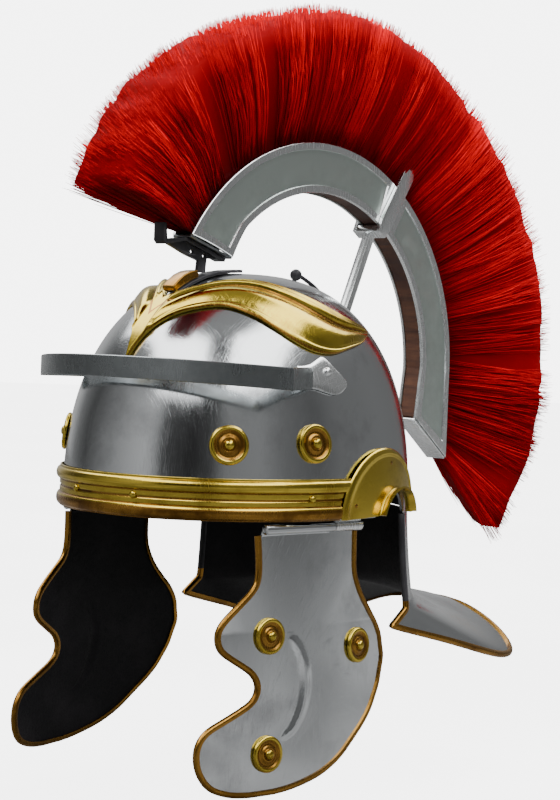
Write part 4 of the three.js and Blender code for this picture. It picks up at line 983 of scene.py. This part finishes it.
def brow_guard():
    radius = (BROW_GUARD_HALF**2 + BROW_GUARD_BULGE**2) / (2 * BROW_GUARD_BULGE)
    spread = math.asin(BROW_GUARD_HALF / radius)
    turn = np.linspace(spread, -spread, 81)
    front = np.stack(
        [
            radius * np.sin(turn),
            BROW_GUARD_CREASE - BROW_GUARD_BULGE + radius - radius * np.cos(turn),
            BROW_GUARD_Z + BROW_GUARD_RISE * (1 - (turn / spread) ** 2),
        ],
        axis=-1,
    )
    tab_y = (BROW_TAB[0][0] + 0.05) * HALF_LENGTH
    end = over_side(tab_y, BROW_GUARD_Z + BROW_GUARD_HEIGHT / 2, 4.0)
    end[2] = BROW_GUARD_Z
    back = np.linspace(end, front[0], 9)[:-1]
    path = np.concatenate([back, front, (back * np.array([-1, 1, 1]))[::-1]])
    before = unit(np.diff(path, axis=0, prepend=path[:1] - (path[1:2] - path[:1])) * [1, 1, 0])
    after = unit(np.diff(path, axis=0, append=path[-1:] + (path[-1:] - path[-2:-1])) * [1, 1, 0])
    along = unit(before + after)
    mitre = np.maximum(0.5, np.sum(along * before, axis=1))[:, None]
    across = np.stack([along[:, 1], -along[:, 0], 0 * along[:, 0]], axis=-1) / mitre
    up = np.tile([0.0, 0.0, 1.0], (len(path), 1))
    h, t, b = BROW_GUARD_HEIGHT, BROW_GUARD_SHEET / 2, 0.45
    inner_side = [(-t + b, h), (-t, h - b), (-t, b)]
    section = [(-t + b, 0), (t - b, 0), (t, b), (t, h - 2.9), (t - 0.25, h - 2.3), (0.1, h), *inner_side]
    strip, strip_faces = sweep(section, path, across, up)
    tab_rows = spline(BROW_TAB, 40)
    share = np.linspace(0, 1, 15)[:, None]
    y = np.broadcast_to(tab_rows[None, :, 0] * HALF_LENGTH, (15, 40))
    low = BROW_GUARD_Z + BROW_GUARD_HEIGHT * tab_rows[None, :, 1]
    high = BROW_GUARD_Z + BROW_GUARD_HEIGHT * tab_rows[None, :, 2]
    z = low + (high - low) * share
    edge = np.clip(np.minimum(share, 1 - share) / 0.12, 0, 1) ** 0.5
    face = over_side(y, z, 1.9 + 0.6 * edge + 0 * y)
    tab, tab_faces, _ = sheet(face, over_side(y, z, 0.6 + 0 * y))
    # The strip gets the darker steel as painted shade; its tabs, of the same steel, get the bright one.
    add_piece(
        "brow_guard_strip", to_frame(strip), strip_faces, ["dark_steel"],
        hidden=["brow_guard"], sharp=25,
    )
    both = joined((tab, tab_faces), (mirrored(tab), tab_faces))
    add_piece("brow_guard_tabs", to_frame(both[0]), both[1], ["bright_steel"], sharp=40)


# Cheek guards, on the hinge's own frame: origin on its axis, +Y back along it, +X out

CHEEK_ROWS = [
    (0, -0.678, 0.067),
    (0.08, -0.67, 0.069),
    (0.155, -0.672, 0.074),
    (0.207, -0.703, 0.097),
    (0.27, -0.807, 0.148),
    (0.333, -0.907, 0.223),
    (0.385, -0.937, 0.288),
    (0.44, -0.912, 0.333),
    (0.49, -0.808, 0.347),
    (0.535, -0.714, 0.357),
    (0.59, -0.68, 0.334),
    (0.645, -0.723, 0.308),
    (0.695, -0.867, 0.266),
    (0.74, -1.003, 0.223),
    (0.79, -1.061, 0.153),
    (0.85, -1.072, 0.045),
    (0.91, -1.046, -0.072),
    (0.96, -0.983, -0.233),
    (0.99, -0.866, -0.432),
    (1.0, -0.746, -0.572),
]


def cheek_out(y, drop):
    """How far the middle of the sheet stands out, for a place behind the axis and a drop below it."""
    share = drop / CHEEK_LENGTH
    bend = ((y + CHEEK_MIDDLE * CHEEK_WIDTH) / (CHEEK_BEND_SPAN * CHEEK_WIDTH)) ** 2
    return CHEEK_FLARE * share - CHEEK_INSET - CHEEK_CURL * bend * np.minimum(1, share * CHEEK_CURL_START)


def cheek_normal(y, drop):
    step = 0.5
    back = np.array([cheek_out(y + step, drop) - cheek_out(y - step, drop), 2 * step, 0])
    up = np.array([cheek_out(y, drop - step) - cheek_out(y, drop + step), 0, 2 * step])
    return unit(np.cross(back, up))


CRESCENT = [
    (-0.44, 0.41),
    (-0.38, 0.47),
    (-0.345, 0.53),
    (-0.335, 0.59),
    (-0.345, 0.65),
    (-0.375, 0.71),
    (-0.43, 0.765),
    (-0.5, 0.8),
]


def cheek_crescent(y, drop):
    """Height, from 0 to 1, of the ridge that curves between the front and the low rosette."""
    line = spline(CRESCENT, 60) * np.array([CHEEK_WIDTH, CHEEK_LENGTH])
    away = np.sqrt((y[..., None] - line[:, 0]) ** 2 + (drop[..., None] - line[:, 1]) ** 2)
    nearest = np.argmin(away, axis=-1) / (len(line) - 1)
    half = 0.8 + 4.6 * np.sin(np.clip(nearest, 0, 1) * math.pi) ** 0.7
    t = np.clip(np.min(away, axis=-1) / half, 0, 1)
    return (1 - t**2) ** 2 * np.sin(np.clip(0.04 + 0.92 * nearest, 0, 1) * math.pi) ** 0.5


def at_hinge(points, side):
    """From the left hinge's frame to millimetres above the rim, on either side."""
    a = -math.radians(HINGE_TURN)
    turn = np.array([[math.cos(a), -math.sin(a), 0], [math.sin(a), math.cos(a), 0], [0, 0, 1]])
    placed = np.asarray(points).reshape(-1, 3) @ turn.T + np.array([HINGE_X, 0, -HINGE_DROP])
    return placed if side == "left" else mirrored(placed)


def barrel(start, end, radius):
    """A knuckle along +Y with slightly broken ends."""
    turns = np.linspace(0, 2 * math.pi, 28, endpoint=False)
    rows = [(start, radius - 0.4), (start + 0.3, radius), (end - 0.3, radius), (end, radius - 0.4)]
    points = [(r * math.cos(a), y, r * math.sin(a)) for y, r in rows for a in turns]
    size = len(turns)
    faces = [tuple(range(size)), tuple(3 * size + k for k in reversed(range(size)))]
    for r in range(3):
        for k in range(size):
            m = (k + 1) % size
            faces.append((r * size + k, r * size + m, (r + 1) * size + m, (r + 1) * size + k))
    return np.array(points), faces


def cheek_guards():
    rows = spline(CHEEK_ROWS, 140)
    drop = CHEEK_TOP + (CHEEK_LENGTH - CHEEK_TOP) * rows[:, 0]
    share = np.linspace(0, 1, 61)[None, :]
    y = CHEEK_WIDTH * (rows[:, 1][:, None] * (1 - share) + rows[:, 2][:, None] * share)
    d = np.broadcast_to(drop[:, None], y.shape)
    middle = np.stack([cheek_out(y, d), y, -d], axis=-1)
    normals = grid_normals(middle)
    normals *= np.sign(normals[..., :1] + 1e-9)
    raised = (cheek_crescent(y, d) * 1.3)[..., None] * normals
    half = CHEEK_SHEET / 2
    face, back = middle + normals * half, middle - normals * half
    plate, plate_faces, sides = sheet(face + raised, back + raised)
    tongue_y = np.array([HINGE_FRONT + 0.3, HINGE_SEAM - 0.3])
    tongue_top = [[-1.8, v, -0.5] for v in tongue_y]
    tongue_foot = [[cheek_out(v, 4.7) + 0.55, v, -4.7] for v in tongue_y]
    tongue_face = np.array([tongue_top, tongue_foot])
    tongue_back = tongue_face - np.array([1.1, 0, 0])
    tongue, tongue_faces, _ = sheet(tongue_face, tongue_back)
    knuckle, knuckle_faces = barrel(HINGE_FRONT, HINGE_SEAM, KNUCKLE_RADIUS)
    whole = joined((plate, plate_faces), (tongue, tongue_faces), (knuckle, knuckle_faces))
    picks = sides + [0] * (len(tongue_faces) + len(knuckle_faces))
    path, out = border(face, back)
    path = eased(path, 3)
    across, up = path_frames(path, out)
    middle_point = path.mean(axis=0)
    if np.sum(across * (path - middle_point)) < 0:
        across = -across
    roll, roll_faces = sweep(rolled_section(1.95, 1.6, 2.0), path, across, up)
    fixed, fixed_faces = barrel(HINGE_SEAM + 0.3, HINGE_REAR, KNUCKLE_RADIUS)
    rosette = turned(rosette_profile(11.0), 48)
    spots = (("front", -0.597, 0.407), ("rear", 0.105, 0.483), ("low", -0.623, 0.852))
    for side in ("left", "right"):
        body = f"cheek_guard_{side}"
        add_piece(
            f"cheek_guard_sheet_{side}", to_frame(at_hinge(whole[0], side)), whole[1],
            ["polished_steel", "black_paint"], body=body, hidden=[f"cheek_plate_{side}"],
            picks=picks, sharp=45,
        )
        add_piece(
            f"cheek_guard_roll_{side}", to_frame(at_hinge(roll, side)), roll_faces, ["dark_brass"],
            body=body, hidden=[f"cheek_edging_{side}"], sharp=50,
        )
        add_piece(
            f"hinge_barrel_{side}", to_frame(at_hinge(fixed, side)), fixed_faces, ["bright_steel"],
            sharp=40,
        )
        for place, y_share, drop_share in spots:
            at_y, at_drop = y_share * CHEEK_WIDTH, drop_share * CHEEK_LENGTH
            out = cheek_normal(at_y, at_drop)
            spot = np.array([cheek_out(at_y, at_drop), at_y, -at_drop])
            placed = stood(rosette[0], spot + out * 0.9, out)
            add_piece(
                f"cheek_rosette_{place}_head_{side}", to_frame(at_hinge(placed, side)), rosette[1],
                ["brass", "dark_brass"], body=body, hidden=[f"cheek_rosette_{place}_{side}"],
                picks=dish_picks(rosette[1], rosette[0], 11.0), sharp=45,
            )


# Crest box and what holds it


def stepped(stops, spacing):
    """Places between named stops, close together only where they have to be."""
    places = [stops[0]]
    for start, end in zip(stops, stops[1:]):
        count = max(1, round((end - start) / spacing))
        places += list(np.linspace(start, end, count + 1)[1:])
    return np.array(places)


ARC_RUN = math.radians(CREST_FRONT) * (CREST_RADIUS - CREST_DEPTH / 2)
TAIL_RUN = CREST_TAIL - CREST_TAIL_SLANT / 2
CREST_RUN = ARC_RUN + TAIL_RUN


def crest_points(run, depth):
    """Places on the crest box by the run from its front end and the depth from its outer edge."""
    share = depth / CREST_DEPTH
    t = np.clip(run / ARC_RUN, 0, 1)
    angle = np.radians((CREST_FRONT - CREST_FRONT_SLANT * share) * (1 - t))
    extra = CREST_FRONT_EXTRA * share * np.maximum(0, 1 - 12 * t)
    radius = CREST_RADIUS - depth - extra
    tail = np.clip((run - ARC_RUN) / TAIL_RUN, 0, 1)
    y = CREST_Y + radius * np.cos(angle) - CREST_TAIL_INSET * share * tail
    z = CREST_Z + radius * np.sin(angle) - tail * (CREST_TAIL - CREST_TAIL_SLANT * share)
    return y, z


def crest_side():
    fork_run = ARC_RUN * (1 - FORK_ANGLE / CREST_FRONT)
    gap = math.radians(FORK_GAP_ANGLE) * (CREST_RADIUS - CREST_DEPTH / 2)
    step = 0.5
    run_end, depth_end = CREST_RUN - CREST_TAIL_HEM, CREST_DEPTH - CREST_HEM
    run_stops = [
        0, CREST_EDGE, CREST_HEM, CREST_HEM + step, fork_run - gap - step, fork_run - gap,
        fork_run + gap, fork_run + gap + step, run_end - step, run_end, CREST_RUN - CREST_EDGE, CREST_RUN,
    ]
    depth_stops = [
        0, CREST_EDGE, CREST_HEM, CREST_HEM + step,
        depth_end - step, depth_end, CREST_DEPTH - CREST_EDGE, CREST_DEPTH,
    ]
    run = stepped(run_stops, 2.5)[None, :]
    depth = stepped(depth_stops, 2.5)[:, None]
    inside_run = np.maximum(
        np.minimum(run - CREST_HEM, fork_run - gap - run),
        np.minimum(run - fork_run - gap, run_end - run),
    )
    inside_depth = np.minimum(depth - CREST_HEM, depth_end - depth)
    sunk = np.clip(np.minimum(inside_run, inside_depth) / step, 0, 1)
    rim = np.minimum(np.minimum(run, CREST_RUN - run), np.minimum(depth, CREST_DEPTH - depth))
    x = CREST_HALF + 1.0 - sunk - 0.35 * np.clip(1 - rim / CREST_EDGE, 0, 1)
    y, z = crest_points(run + 0 * depth, depth + 0 * run)
    face = np.stack([x, y, z], axis=-1)
    back = np.stack([np.full_like(x, CREST_HALF - CREST_PLATE), y, z], axis=-1)
    points, faces, _ = sheet(face, back)
    count = sunk.shape[1]
    picks = []
    for r in range(sunk.shape[0] - 1):
        for c in range(count - 1):
            flat = sunk[r : r + 2, c : c + 2].min() > 0.99
            picks += [0 if flat else 1, 0]
    picks += [1] * (len(faces) - len(picks))
    return points, faces, picks


def crest_sides():
    points, faces, picks = crest_side()
    for side, place in (("left", points), ("right", mirrored(points))):
        add_piece(
            f"crest_panel_{side}", to_frame(place), faces, ["satin_steel", "bright_steel"],
            hidden=[f"crest_side_{side}"], picks=picks, sharp=20,
        )


def softened(name, node_name, material, width, segments=3, body="helmet"):
    """The solid's own shape with its sharp edges rounded."""
    work = bmesh.new()
    work.from_mesh(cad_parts[node_name].data)
    bmesh.ops.remove_doubles(work, verts=work.verts, dist=1e-6)
    bmesh.ops.dissolve_limit(work, angle_limit=math.radians(1), verts=work.verts, edges=work.edges)
    mesh = bpy.data.meshes.new(name)
    work.to_mesh(mesh)
    work.free()
    mesh.materials.clear()
    mesh.materials.append(MATERIALS[material])
    piece = bpy.data.objects.new(name, mesh)
    bpy.context.collection.objects.link(piece)
    rounding = piece.modifiers.new("rounding", "BEVEL")
    rounding.width = width * 0.001
    rounding.segments = segments
    rounding.limit_method = "ANGLE"
    rounding.angle_limit = math.radians(28)
    rounding.use_clamp_overlap = True
    shaped = bpy.data.meshes.new_from_object(piece.evaluated_get(bpy.context.evaluated_depsgraph_get()))
    piece.modifiers.clear()
    piece.data = shaped
    shaped.name = name
    shaped.shade_smooth()
    shaped.set_sharp_from_angle(angle=math.radians(40))
    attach(piece, body)
    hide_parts(node_name)
    return piece


def rear_hook():
    foot_y, knob_y = 81.0, 49.0
    foot_z, knob_z = float(bowl_rise(0.0, foot_y)) + 1.2, float(bowl_rise(0.0, knob_y)) + 9.0
    rows = spline(
        [
            (foot_y, foot_z, 2.4),
            (foot_y - 1.5, foot_z + 0.36 * (knob_z - foot_z), 2.0),
            (foot_y - 11, foot_z + 0.7 * (knob_z - foot_z), 1.5),
            (knob_y + 5, knob_z - 0.8, 1.3),
            (knob_y, knob_z, 1.4),
        ],
        30,
    )
    path = np.stack([0 * rows[:, 0], rows[:, 0], rows[:, 1]], axis=-1)
    across, up = path_frames(path, np.tile([1.0, 0.0, 0.0], (len(path), 1)))
    circle = [(math.cos(a), math.sin(a)) for a in np.linspace(0, 2 * math.pi, 16, endpoint=False)]
    wire = sweep(circle, path, across * rows[:, 2:3], up * rows[:, 2:3])
    turns = np.linspace(-math.pi / 2, math.pi / 2, 17)
    ball = turned([(max(0.001, 4 * math.cos(a)), 4 * math.sin(a)) for a in turns], 28)
    ball = (ball[0] + np.array([0, knob_y, knob_z]), ball[1])
    points, faces = joined(wire, ball)
    add_piece(
        "rear_hook_wire", to_frame(points), faces, ["black_iron"], hidden=["rear_hook"], sharp=50
    )


def crest_fittings():
    # The front end gets the darker steel as painted shade, the rear end the bright one.
    softened("crest_end_front", "crest_cap_front", "dark_steel", 0.35)
    softened("crest_end_rear", "crest_cap_rear", "bright_steel", 0.35)
    softened("crest_fork_forging", "crest_fork", "bright_steel", 0.5)
    softened("crest_hook_bracket", "crest_hook", "black_iron", 0.3)
    softened("crown_strip_plate", "crown_strip", "black_iron", 0.5)
    softened("crown_socket_body", "crown_socket", "dark_brass", 0.8)
    rear_hook()


# Plume

# Columns: share along the box's outer edge, lean in degrees, reach as a share of the length
PLUME_STATIONS = np.array(
    [
        (0, 16, 0.7),
        (0.04, 15, 0.77),
        (0.08, 8, 0.76),
        (0.14, 6, 0.75),
        (0.25, 1, 0.715),
        (0.4, 0, 0.785),
        (0.55, 0, 0.8),
        (0.68, 0, 0.905),
        (0.78, 0, 0.955),
        (0.88, -5, 0.95),
        (0.94, -16, 0.93),
        (1, -41, 0.79),
    ]
)


def plume_base(along):
    """Root places on the box's outer edge and the direction square to it."""
    arc = math.radians(CREST_FRONT) * CREST_RADIUS
    run = along * (arc + CREST_TAIL)
    angle = np.radians(CREST_FRONT) * np.maximum(0, 1 - run / arc)
    y = CREST_Y + CREST_RADIUS * np.cos(angle)
    z = CREST_Z + CREST_RADIUS * np.sin(angle) - np.maximum(0, run - arc)
    lean = np.radians(np.interp(along, PLUME_STATIONS[:, 0], PLUME_STATIONS[:, 1]))
    return y, z, angle + lean


def plume_reach(along):
    return PLUME_LENGTH * np.interp(along, PLUME_STATIONS[:, 0], PLUME_STATIONS[:, 2])


def plume_fan(along):
    """How wide the fan opens from side to side, as a share of its width: less towards the tail."""
    return 1 - 0.45 * np.clip((along - 0.84) / 0.16, 0, 1) ** 1.5


def with_fibre_values(piece, share, tone):
    for label, values in (("fibre_share", share), ("fibre_tone", tone)):
        layer = piece.data.attributes.new(label, "FLOAT", "POINT")
        layer.data.foreach_set("value", np.asarray(values, dtype=np.float32))


# The plume's heart: share of the reach, and half its width there in mm
HEART_ROWS = [(-0.05, 5.6), (0.03, 6.2), (0.25, 12.5), (0.5, 18.5), (0.72, 22.5), (0.86, 22.0), (0.92, 14.0)]


def plume_heart():
    """The closed mass of hair that the loose fibres stand out of, darker than the fibres as painted shade."""
    along = np.linspace(0.006, 0.994, 160)
    y, z, angle = plume_base(along)
    reach = plume_reach(along)
    rng = np.random.default_rng(5)
    ragged = eased(rng.uniform(-1, 1, (160, 1)), 1)[:, 0]
    rows = []
    values = []
    for share, wide in HEART_ROWS:
        far = reach * share * (1 + 0.03 * ragged)
        rows.append((y + far * np.cos(angle), z + far * np.sin(angle), wide * plume_fan(along)))
        values.append(max(0.0, share))
    left = [np.stack([w + 0 * a, a, b], axis=-1) for a, b, w in rows]
    right = [np.stack([-w + 0 * a, a, b], axis=-1) for a, b, w in rows]
    points, faces, _ = sheet(np.stack(left), np.stack(right))
    piece = add_piece(
        "plume_heart", to_frame(points), faces, ["red_hair_heart"], hidden=["plume"],
        sharp=180, clean=False,
    )
    share = np.concatenate([np.repeat(values, 160)] * 2)
    with_fibre_values(piece, share, np.full(len(points), 0.8))


def plume_fibres(name, start, end, tufts, per_tuft, seed):
    """Thin tapered fibres in tufts, rooted in the mouth of the crest box between two shares."""
    rng = np.random.default_rng(seed)
    rings, sides = 6, 3
    tuft_along = start + (end - start) * (np.arange(tufts) + rng.uniform(0, 1, tufts)) / tufts
    tuft_side = rng.uniform(-1, 1, tufts)
    ragged = 0.25 + 0.75 * np.clip((tuft_along - 0.35) / 0.3, 0, 1)
    tuft_swing = np.radians(rng.normal(0, 2.2, tufts)) * ragged
    tuft_length = 1 + rng.normal(0, 0.028, tufts) * ragged
    tuft_tone = rng.uniform(0.36, 1.06, tufts)
    owner = np.repeat(np.arange(tufts), per_tuft)
    count = len(owner)
    spread = 0.5 / (tufts / (end - start)) + 0.006
    along = np.clip(tuft_along[owner] + rng.normal(0, spread, count), 0.004, 0.996)
    side = np.clip(tuft_side[owner] + rng.normal(0, 0.22, count), -1, 1)
    y, z, angle = plume_base(along)
    gather_angle = plume_base(tuft_along)[2][owner]
    pull = 0.35 * ragged[owner]
    stray = np.radians(np.clip(rng.normal(0, 1.1, count), -1.8, 1.8))
    angle = angle * (1 - pull) + gather_angle * pull + tuft_swing[owner] + stray
    reach = plume_reach(along) * tuft_length[owner] * (1 - np.abs(rng.normal(0, 0.03, count)))
    reach *= 1 - 0.1 * side**2
    inner = rng.uniform(0, 1, count) < 0.25
    reach[inner] *= rng.uniform(0.6, 0.97, inner.sum())
    fan = PLUME_HALF_WIDTH * 0.97 * plume_fan(along)
    curl = np.clip(rng.normal(0, 1.6, (count, 2)), -2.6, 2.6)
    radius = rng.uniform(0.28, 0.47, count)
    share = np.linspace(0, 1, rings)[None, :]
    far = -2.0 + (reach + 2.0)[:, None] * share
    x_root = 5.2 * side
    x_tip = fan * side * (0.93 + 0.07 * rng.uniform(-1, 1, count))
    bow = np.sin(np.clip(share, 0, 1) * math.pi / 2) ** 1.15
    x = x_root[:, None] + (x_tip - x_root)[:, None] * bow + curl[:, :1] * share**2
    swing = angle[:, None] + np.radians(curl[:, 1:]) * share**2
    centre = np.stack([x, y[:, None] + far * np.cos(swing), z[:, None] + far * np.sin(swing)], axis=-1)
    taper = np.array([0.8, 1.0, 1.0, 0.95, 0.8, 0.3])[None, :, None]
    size = radius[:, None, None] * taper
    radial = np.stack([0 * angle, np.cos(angle), np.sin(angle)], axis=-1)[:, None, :]
    second = np.broadcast_to(np.cross(radial, [1.0, 0, 0]), centre.shape)
    first = np.broadcast_to(np.array([1.0, 0, 0]), centre.shape)
    phase = rng.uniform(0, 2 * math.pi, count)[:, None, None]
    corners = []
    for k in range(sides):
        a = phase + 2 * math.pi * k / sides
        corners.append(centre + first * np.cos(a) * size + second * np.sin(a) * size)
    points = np.stack(corners, axis=2).reshape(-1, 3)
    unit_faces = []
    for r in range(rings - 1):
        for k in range(sides):
            m = (k + 1) % sides
            unit_faces.append((r * sides + k, r * sides + m, (r + 1) * sides + m, (r + 1) * sides + k))
    quads = np.array(unit_faces)
    each = rings * sides
    offsets = (np.arange(count) * each)[:, None, None]
    all_quads = (quads[None] + offsets).reshape(-1, 4)
    ends = np.array([(2, 1, 0), tuple((rings - 1) * sides + k for k in range(3))])
    all_ends = (ends[None] + offsets).reshape(-1, 3)
    mesh = bpy.data.meshes.new(name)
    mesh.vertices.add(len(points))
    mesh.vertices.foreach_set("co", to_frame(points).astype(np.float32).ravel())
    corners_list = np.concatenate([all_quads.ravel(), all_ends.ravel()]).astype(np.int32)
    totals = np.concatenate([np.full(len(all_quads), 4), np.full(len(all_ends), 3)]).astype(np.int32)
    starts = np.concatenate([[0], np.cumsum(totals)[:-1]]).astype(np.int32)
    mesh.loops.add(len(corners_list))
    mesh.loops.foreach_set("vertex_index", corners_list)
    mesh.polygons.add(len(totals))
    mesh.polygons.foreach_set("loop_start", starts)
    mesh.materials.append(MATERIALS["red_hair"])
    mesh.update(calc_edges=True)
    mesh.validate()
    mesh.shade_smooth()
    piece = bpy.data.objects.new(name, mesh)
    bpy.context.collection.objects.link(piece)
    shares = np.repeat(np.broadcast_to(share, (count, rings)).ravel(), sides)
    fibre_tone = tuft_tone[owner] * rng.uniform(0.85, 1.1, count)
    with_fibre_values(piece, shares, np.repeat(fibre_tone, each))
    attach(piece, "helmet")
    return piece


# The fibres' four pieces, from share to share along the box
PLUME_STRETCHES = [
    ("plume_front", 0.0, 0.22),
    ("plume_crown", 0.22, 0.46),
    ("plume_back", 0.46, 0.72),
    ("plume_tail", 0.72, 1.0),
]
FIBRES_PER_TUFT = 50


def plume():
    plume_heart()
    amount = 1.0
    for seed, (name, start, end) in enumerate(PLUME_STRETCHES, 11):
        plume_fibres(name, start, end, int(90 * (end - start) / 0.25), int(FIBRES_PER_TUFT * amount), seed)


# Kept solids, floor, light and camera


def finish_kept_nodes():
    for name, key in (
        ("crest_core", "stained_wood"),
        ("hinge_leaf_left", "bright_steel"),
        ("hinge_leaf_right", "bright_steel"),
        ("hinge_pin_left", "bright_steel"),
        ("hinge_pin_right", "bright_steel"),
    ):
        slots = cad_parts[name].material_slots
        for slot in slots:
            slot.material = MATERIALS[key]


def add_floor():
    floor_z = min(cad_box[0][2], cad_box[1][2]) - 0.02
    mesh = bpy.data.meshes.new("floor")
    work = bmesh.new()
    bmesh.ops.create_circle(work, cap_ends=True, segments=96, radius=9.0)
    bmesh.ops.translate(work, verts=work.verts, vec=(0, 0, floor_z))
    work.to_mesh(mesh)
    work.free()
    material, tree, shader = start_material("pale_floor", 0.0)
    grain = noise(tree, 2.4, 2.0, 0.5)
    tone = colour_mix(tree, remap(tree, grain.outputs["Fac"], 0.4, 0.6), (0.07, 0.07, 0.07), (0.2, 0.2, 0.2))
    tree.links.new(tone, shader.inputs["Base Color"])
    shader.inputs["Roughness"].default_value = 0.9
    ray = node(tree, "ShaderNodeLightPath")
    seen = colour_mix(tree, ray.outputs["Is Camera Ray"], (0.0, 0.0, 0.0), (1.0, 1.0, 1.0))
    tree.links.new(seen, shader.inputs["Emission Color"])
    shader.inputs["Emission Strength"].default_value = FLOOR_STRENGTH
    mesh.materials.append(material)
    floor = bpy.data.objects.new("floor", mesh)
    bpy.context.collection.objects.link(floor)


def add_light(name, place, aim, size, power):
    """A soft lamp that mirrors don't show: what they show is in the surroundings."""
    data = bpy.data.lights.new(name, "AREA")
    data.shape = "RECTANGLE"
    data.size, data.size_y = size
    data.energy = power
    lamp = bpy.data.objects.new(name, data)
    lamp.location = place
    lamp.rotation_mode = "QUATERNION"
    lamp.rotation_quaternion = (Vector(aim) - Vector(place)).to_track_quat("-Z", "Y")
    lamp.visible_glossy = False
    bpy.context.collection.objects.link(lamp)


# The photo's camera: angles in degrees, distance and target in metres, lens in mm
CAMERA_TURN = math.radians(41.225)
CAMERA_RISE = math.radians(1.875)
CAMERA_ROLL = math.radians(2.15)
CAMERA_DISTANCE = 1.204044
CAMERA_TARGET = (0.033028, 0, (70.024 - CROWN_INSIDE) * 0.001)
CAMERA_LENS = 85.02

# Brightness of the surroundings in mirrors and as plain light, and of what the camera sees directly
MIRRORED_STRENGTH = 2.0
DIFFUSE_STRENGTH = 0.35
BACKDROP_STRENGTH = 6.0
FLOOR_STRENGTH = 5.0
# Lamps: name, place, aim, width and height in metres, and power in watts
LAMPS = [
    ("key_right", (1.7, -1.1, 1.2), (0, 0.1, 0), (0.9, 1.4), 38),
    ("fill_left", (-1.5, -1.5, 0.8), (0, 0, 0), (1.2, 1.2), 5),
    ("top", (0.4, 0.4, 1.9), (0, 0.1, 0), (1.6, 1.2), 78),
    ("rear", (0.9, 1.9, 0.8), (0, 0.1, 0), (1.2, 0.8), 18),
]
# What polished metal mirrors near the horizon, fixed in the frame: degrees to the right of the
# direction to the photo's camera, and grey level
HORIZON = [
    (-180, 0.28),
    (-150, 0.26),
    (-134, 0.1),
    (-114, 0.035),
    (-102, 0.07),
    (-80, 0.17),
    (-52, 0.29),
    (-43, 0.22),
    (-36, 0.035),
    (-12, 0.012),
    (4, 0.03),
    (14, 0.12),
    (38, 0.14),
    (52, 0.085),
    (75, 0.055),
    (90, 0.09),
    (120, 0.1),
    (150, 0.085),
    (180, 0.28),
]
# What it mirrors overhead: share to the right of that direction, and grey level
OVERHEAD = [
    (-1.0, 0.12),
    (-0.7, 0.14),
    (-0.66, 2.2),
    (-0.14, 2.4),
    (-0.08, 0.08),
    (0.15, 0.07),
    (0.2, 2.4),
    (0.64, 2.4),
    (0.7, 0.14),
    (1.0, 0.16),
]


def along_direction(tree, vector, direction):
    made = node(tree, "ShaderNodeVectorMath", operation="DOT_PRODUCT")
    tree.links.new(vector, made.inputs[0])
    made.inputs[1].default_value = direction
    return made.outputs["Value"]


def grey_ramp(tree, value, rows, low, high):
    ramp = node(tree, "ShaderNodeValToRGB")
    while len(ramp.color_ramp.elements) < len(rows):
        ramp.color_ramp.elements.new(0.5)
    for element, (place, grey) in zip(ramp.color_ramp.elements, rows):
        element.position = (place - low) / (high - low)
        element.color = (grey, grey, grey, 1)
    tree.links.new(remap(tree, value, low, high), ramp.inputs["Fac"])
    return ramp.outputs["Color"]


def add_surroundings():
    world = bpy.data.worlds.new("studio")
    world.use_nodes = True
    bpy.context.scene.world = world
    tree = world.node_tree
    mirrored_light = tree.nodes["Background"]
    vector = node(tree, "ShaderNodeTexCoord").outputs["Generated"]
    turn = CAMERA_TURN
    right = along_direction(tree, vector, (math.cos(turn), math.sin(turn), 0))
    near = along_direction(tree, vector, (math.sin(turn), -math.cos(turn), 0))
    height = along_direction(tree, vector, (0, 0, 1))
    angle = math_node(tree, "MULTIPLY", math_node(tree, "ARCTAN2", right, near), 180 / math.pi)
    low = grey_ramp(tree, angle, HORIZON, -180, 180)
    high = grey_ramp(tree, right, OVERHEAD, -1, 1)
    made = node(tree, "ShaderNodeMix", data_type="RGBA")
    tree.links.new(remap(tree, height, 0.48, 0.62), made.inputs["Factor"])
    tree.links.new(low, made.inputs[6])
    tree.links.new(high, made.inputs[7])
    crowned = colour_mix(tree, remap(tree, height, 0.9, 0.95), made.outputs[2], (0.16, 0.16, 0.16))
    tree.links.new(crowned, mirrored_light.inputs["Color"])
    backdrop = node(tree, "ShaderNodeBackground")
    backdrop.inputs["Color"].default_value = (1, 1, 1, 1)
    backdrop.inputs["Strength"].default_value = BACKDROP_STRENGTH
    ray = node(tree, "ShaderNodeLightPath")
    strength = remap(tree, ray.outputs["Is Diffuse Ray"], 0, 1, MIRRORED_STRENGTH, DIFFUSE_STRENGTH)
    tree.links.new(strength, mirrored_light.inputs["Strength"])
    chosen = node(tree, "ShaderNodeMixShader")
    tree.links.new(ray.outputs["Is Camera Ray"], chosen.inputs["Fac"])
    tree.links.new(mirrored_light.outputs["Background"], chosen.inputs[1])
    tree.links.new(backdrop.outputs["Background"], chosen.inputs[2])
    tree.links.new(chosen.outputs["Shader"], tree.nodes["World Output"].inputs["Surface"])
    for lamp in LAMPS:
        add_light(*lamp)


def add_camera():
    turn, rise, roll = CAMERA_TURN, CAMERA_RISE, CAMERA_ROLL
    back = Vector((math.sin(turn) * math.cos(rise), -math.cos(turn) * math.cos(rise), math.sin(rise)))
    target = Vector(CAMERA_TARGET)
    side = (-back).cross(Vector((0, 0, 1))).normalized()
    up = side.cross(-back)
    right = side * math.cos(roll) + up * math.sin(roll)
    top = up * math.cos(roll) - side * math.sin(roll)
    data = bpy.data.cameras.new("camera")
    data.lens = CAMERA_LENS
    data.sensor_width = 36
    camera = bpy.data.objects.new("camera", data)
    spin = Matrix((right, top, back)).transposed()
    camera.matrix_world = Matrix.Translation(target + back * CAMERA_DISTANCE) @ spin.to_4x4()
    bpy.context.collection.objects.link(camera)
    bpy.context.scene.camera = camera


bowl()
neck_guard()
rim_band()
ear_guards()
bowl_fastenings()
brow_plate()
brow_guard()
cheek_guards()
crest_sides()
crest_fittings()
plume()
finish_kept_nodes()
add_floor()
add_surroundings()
add_camera()
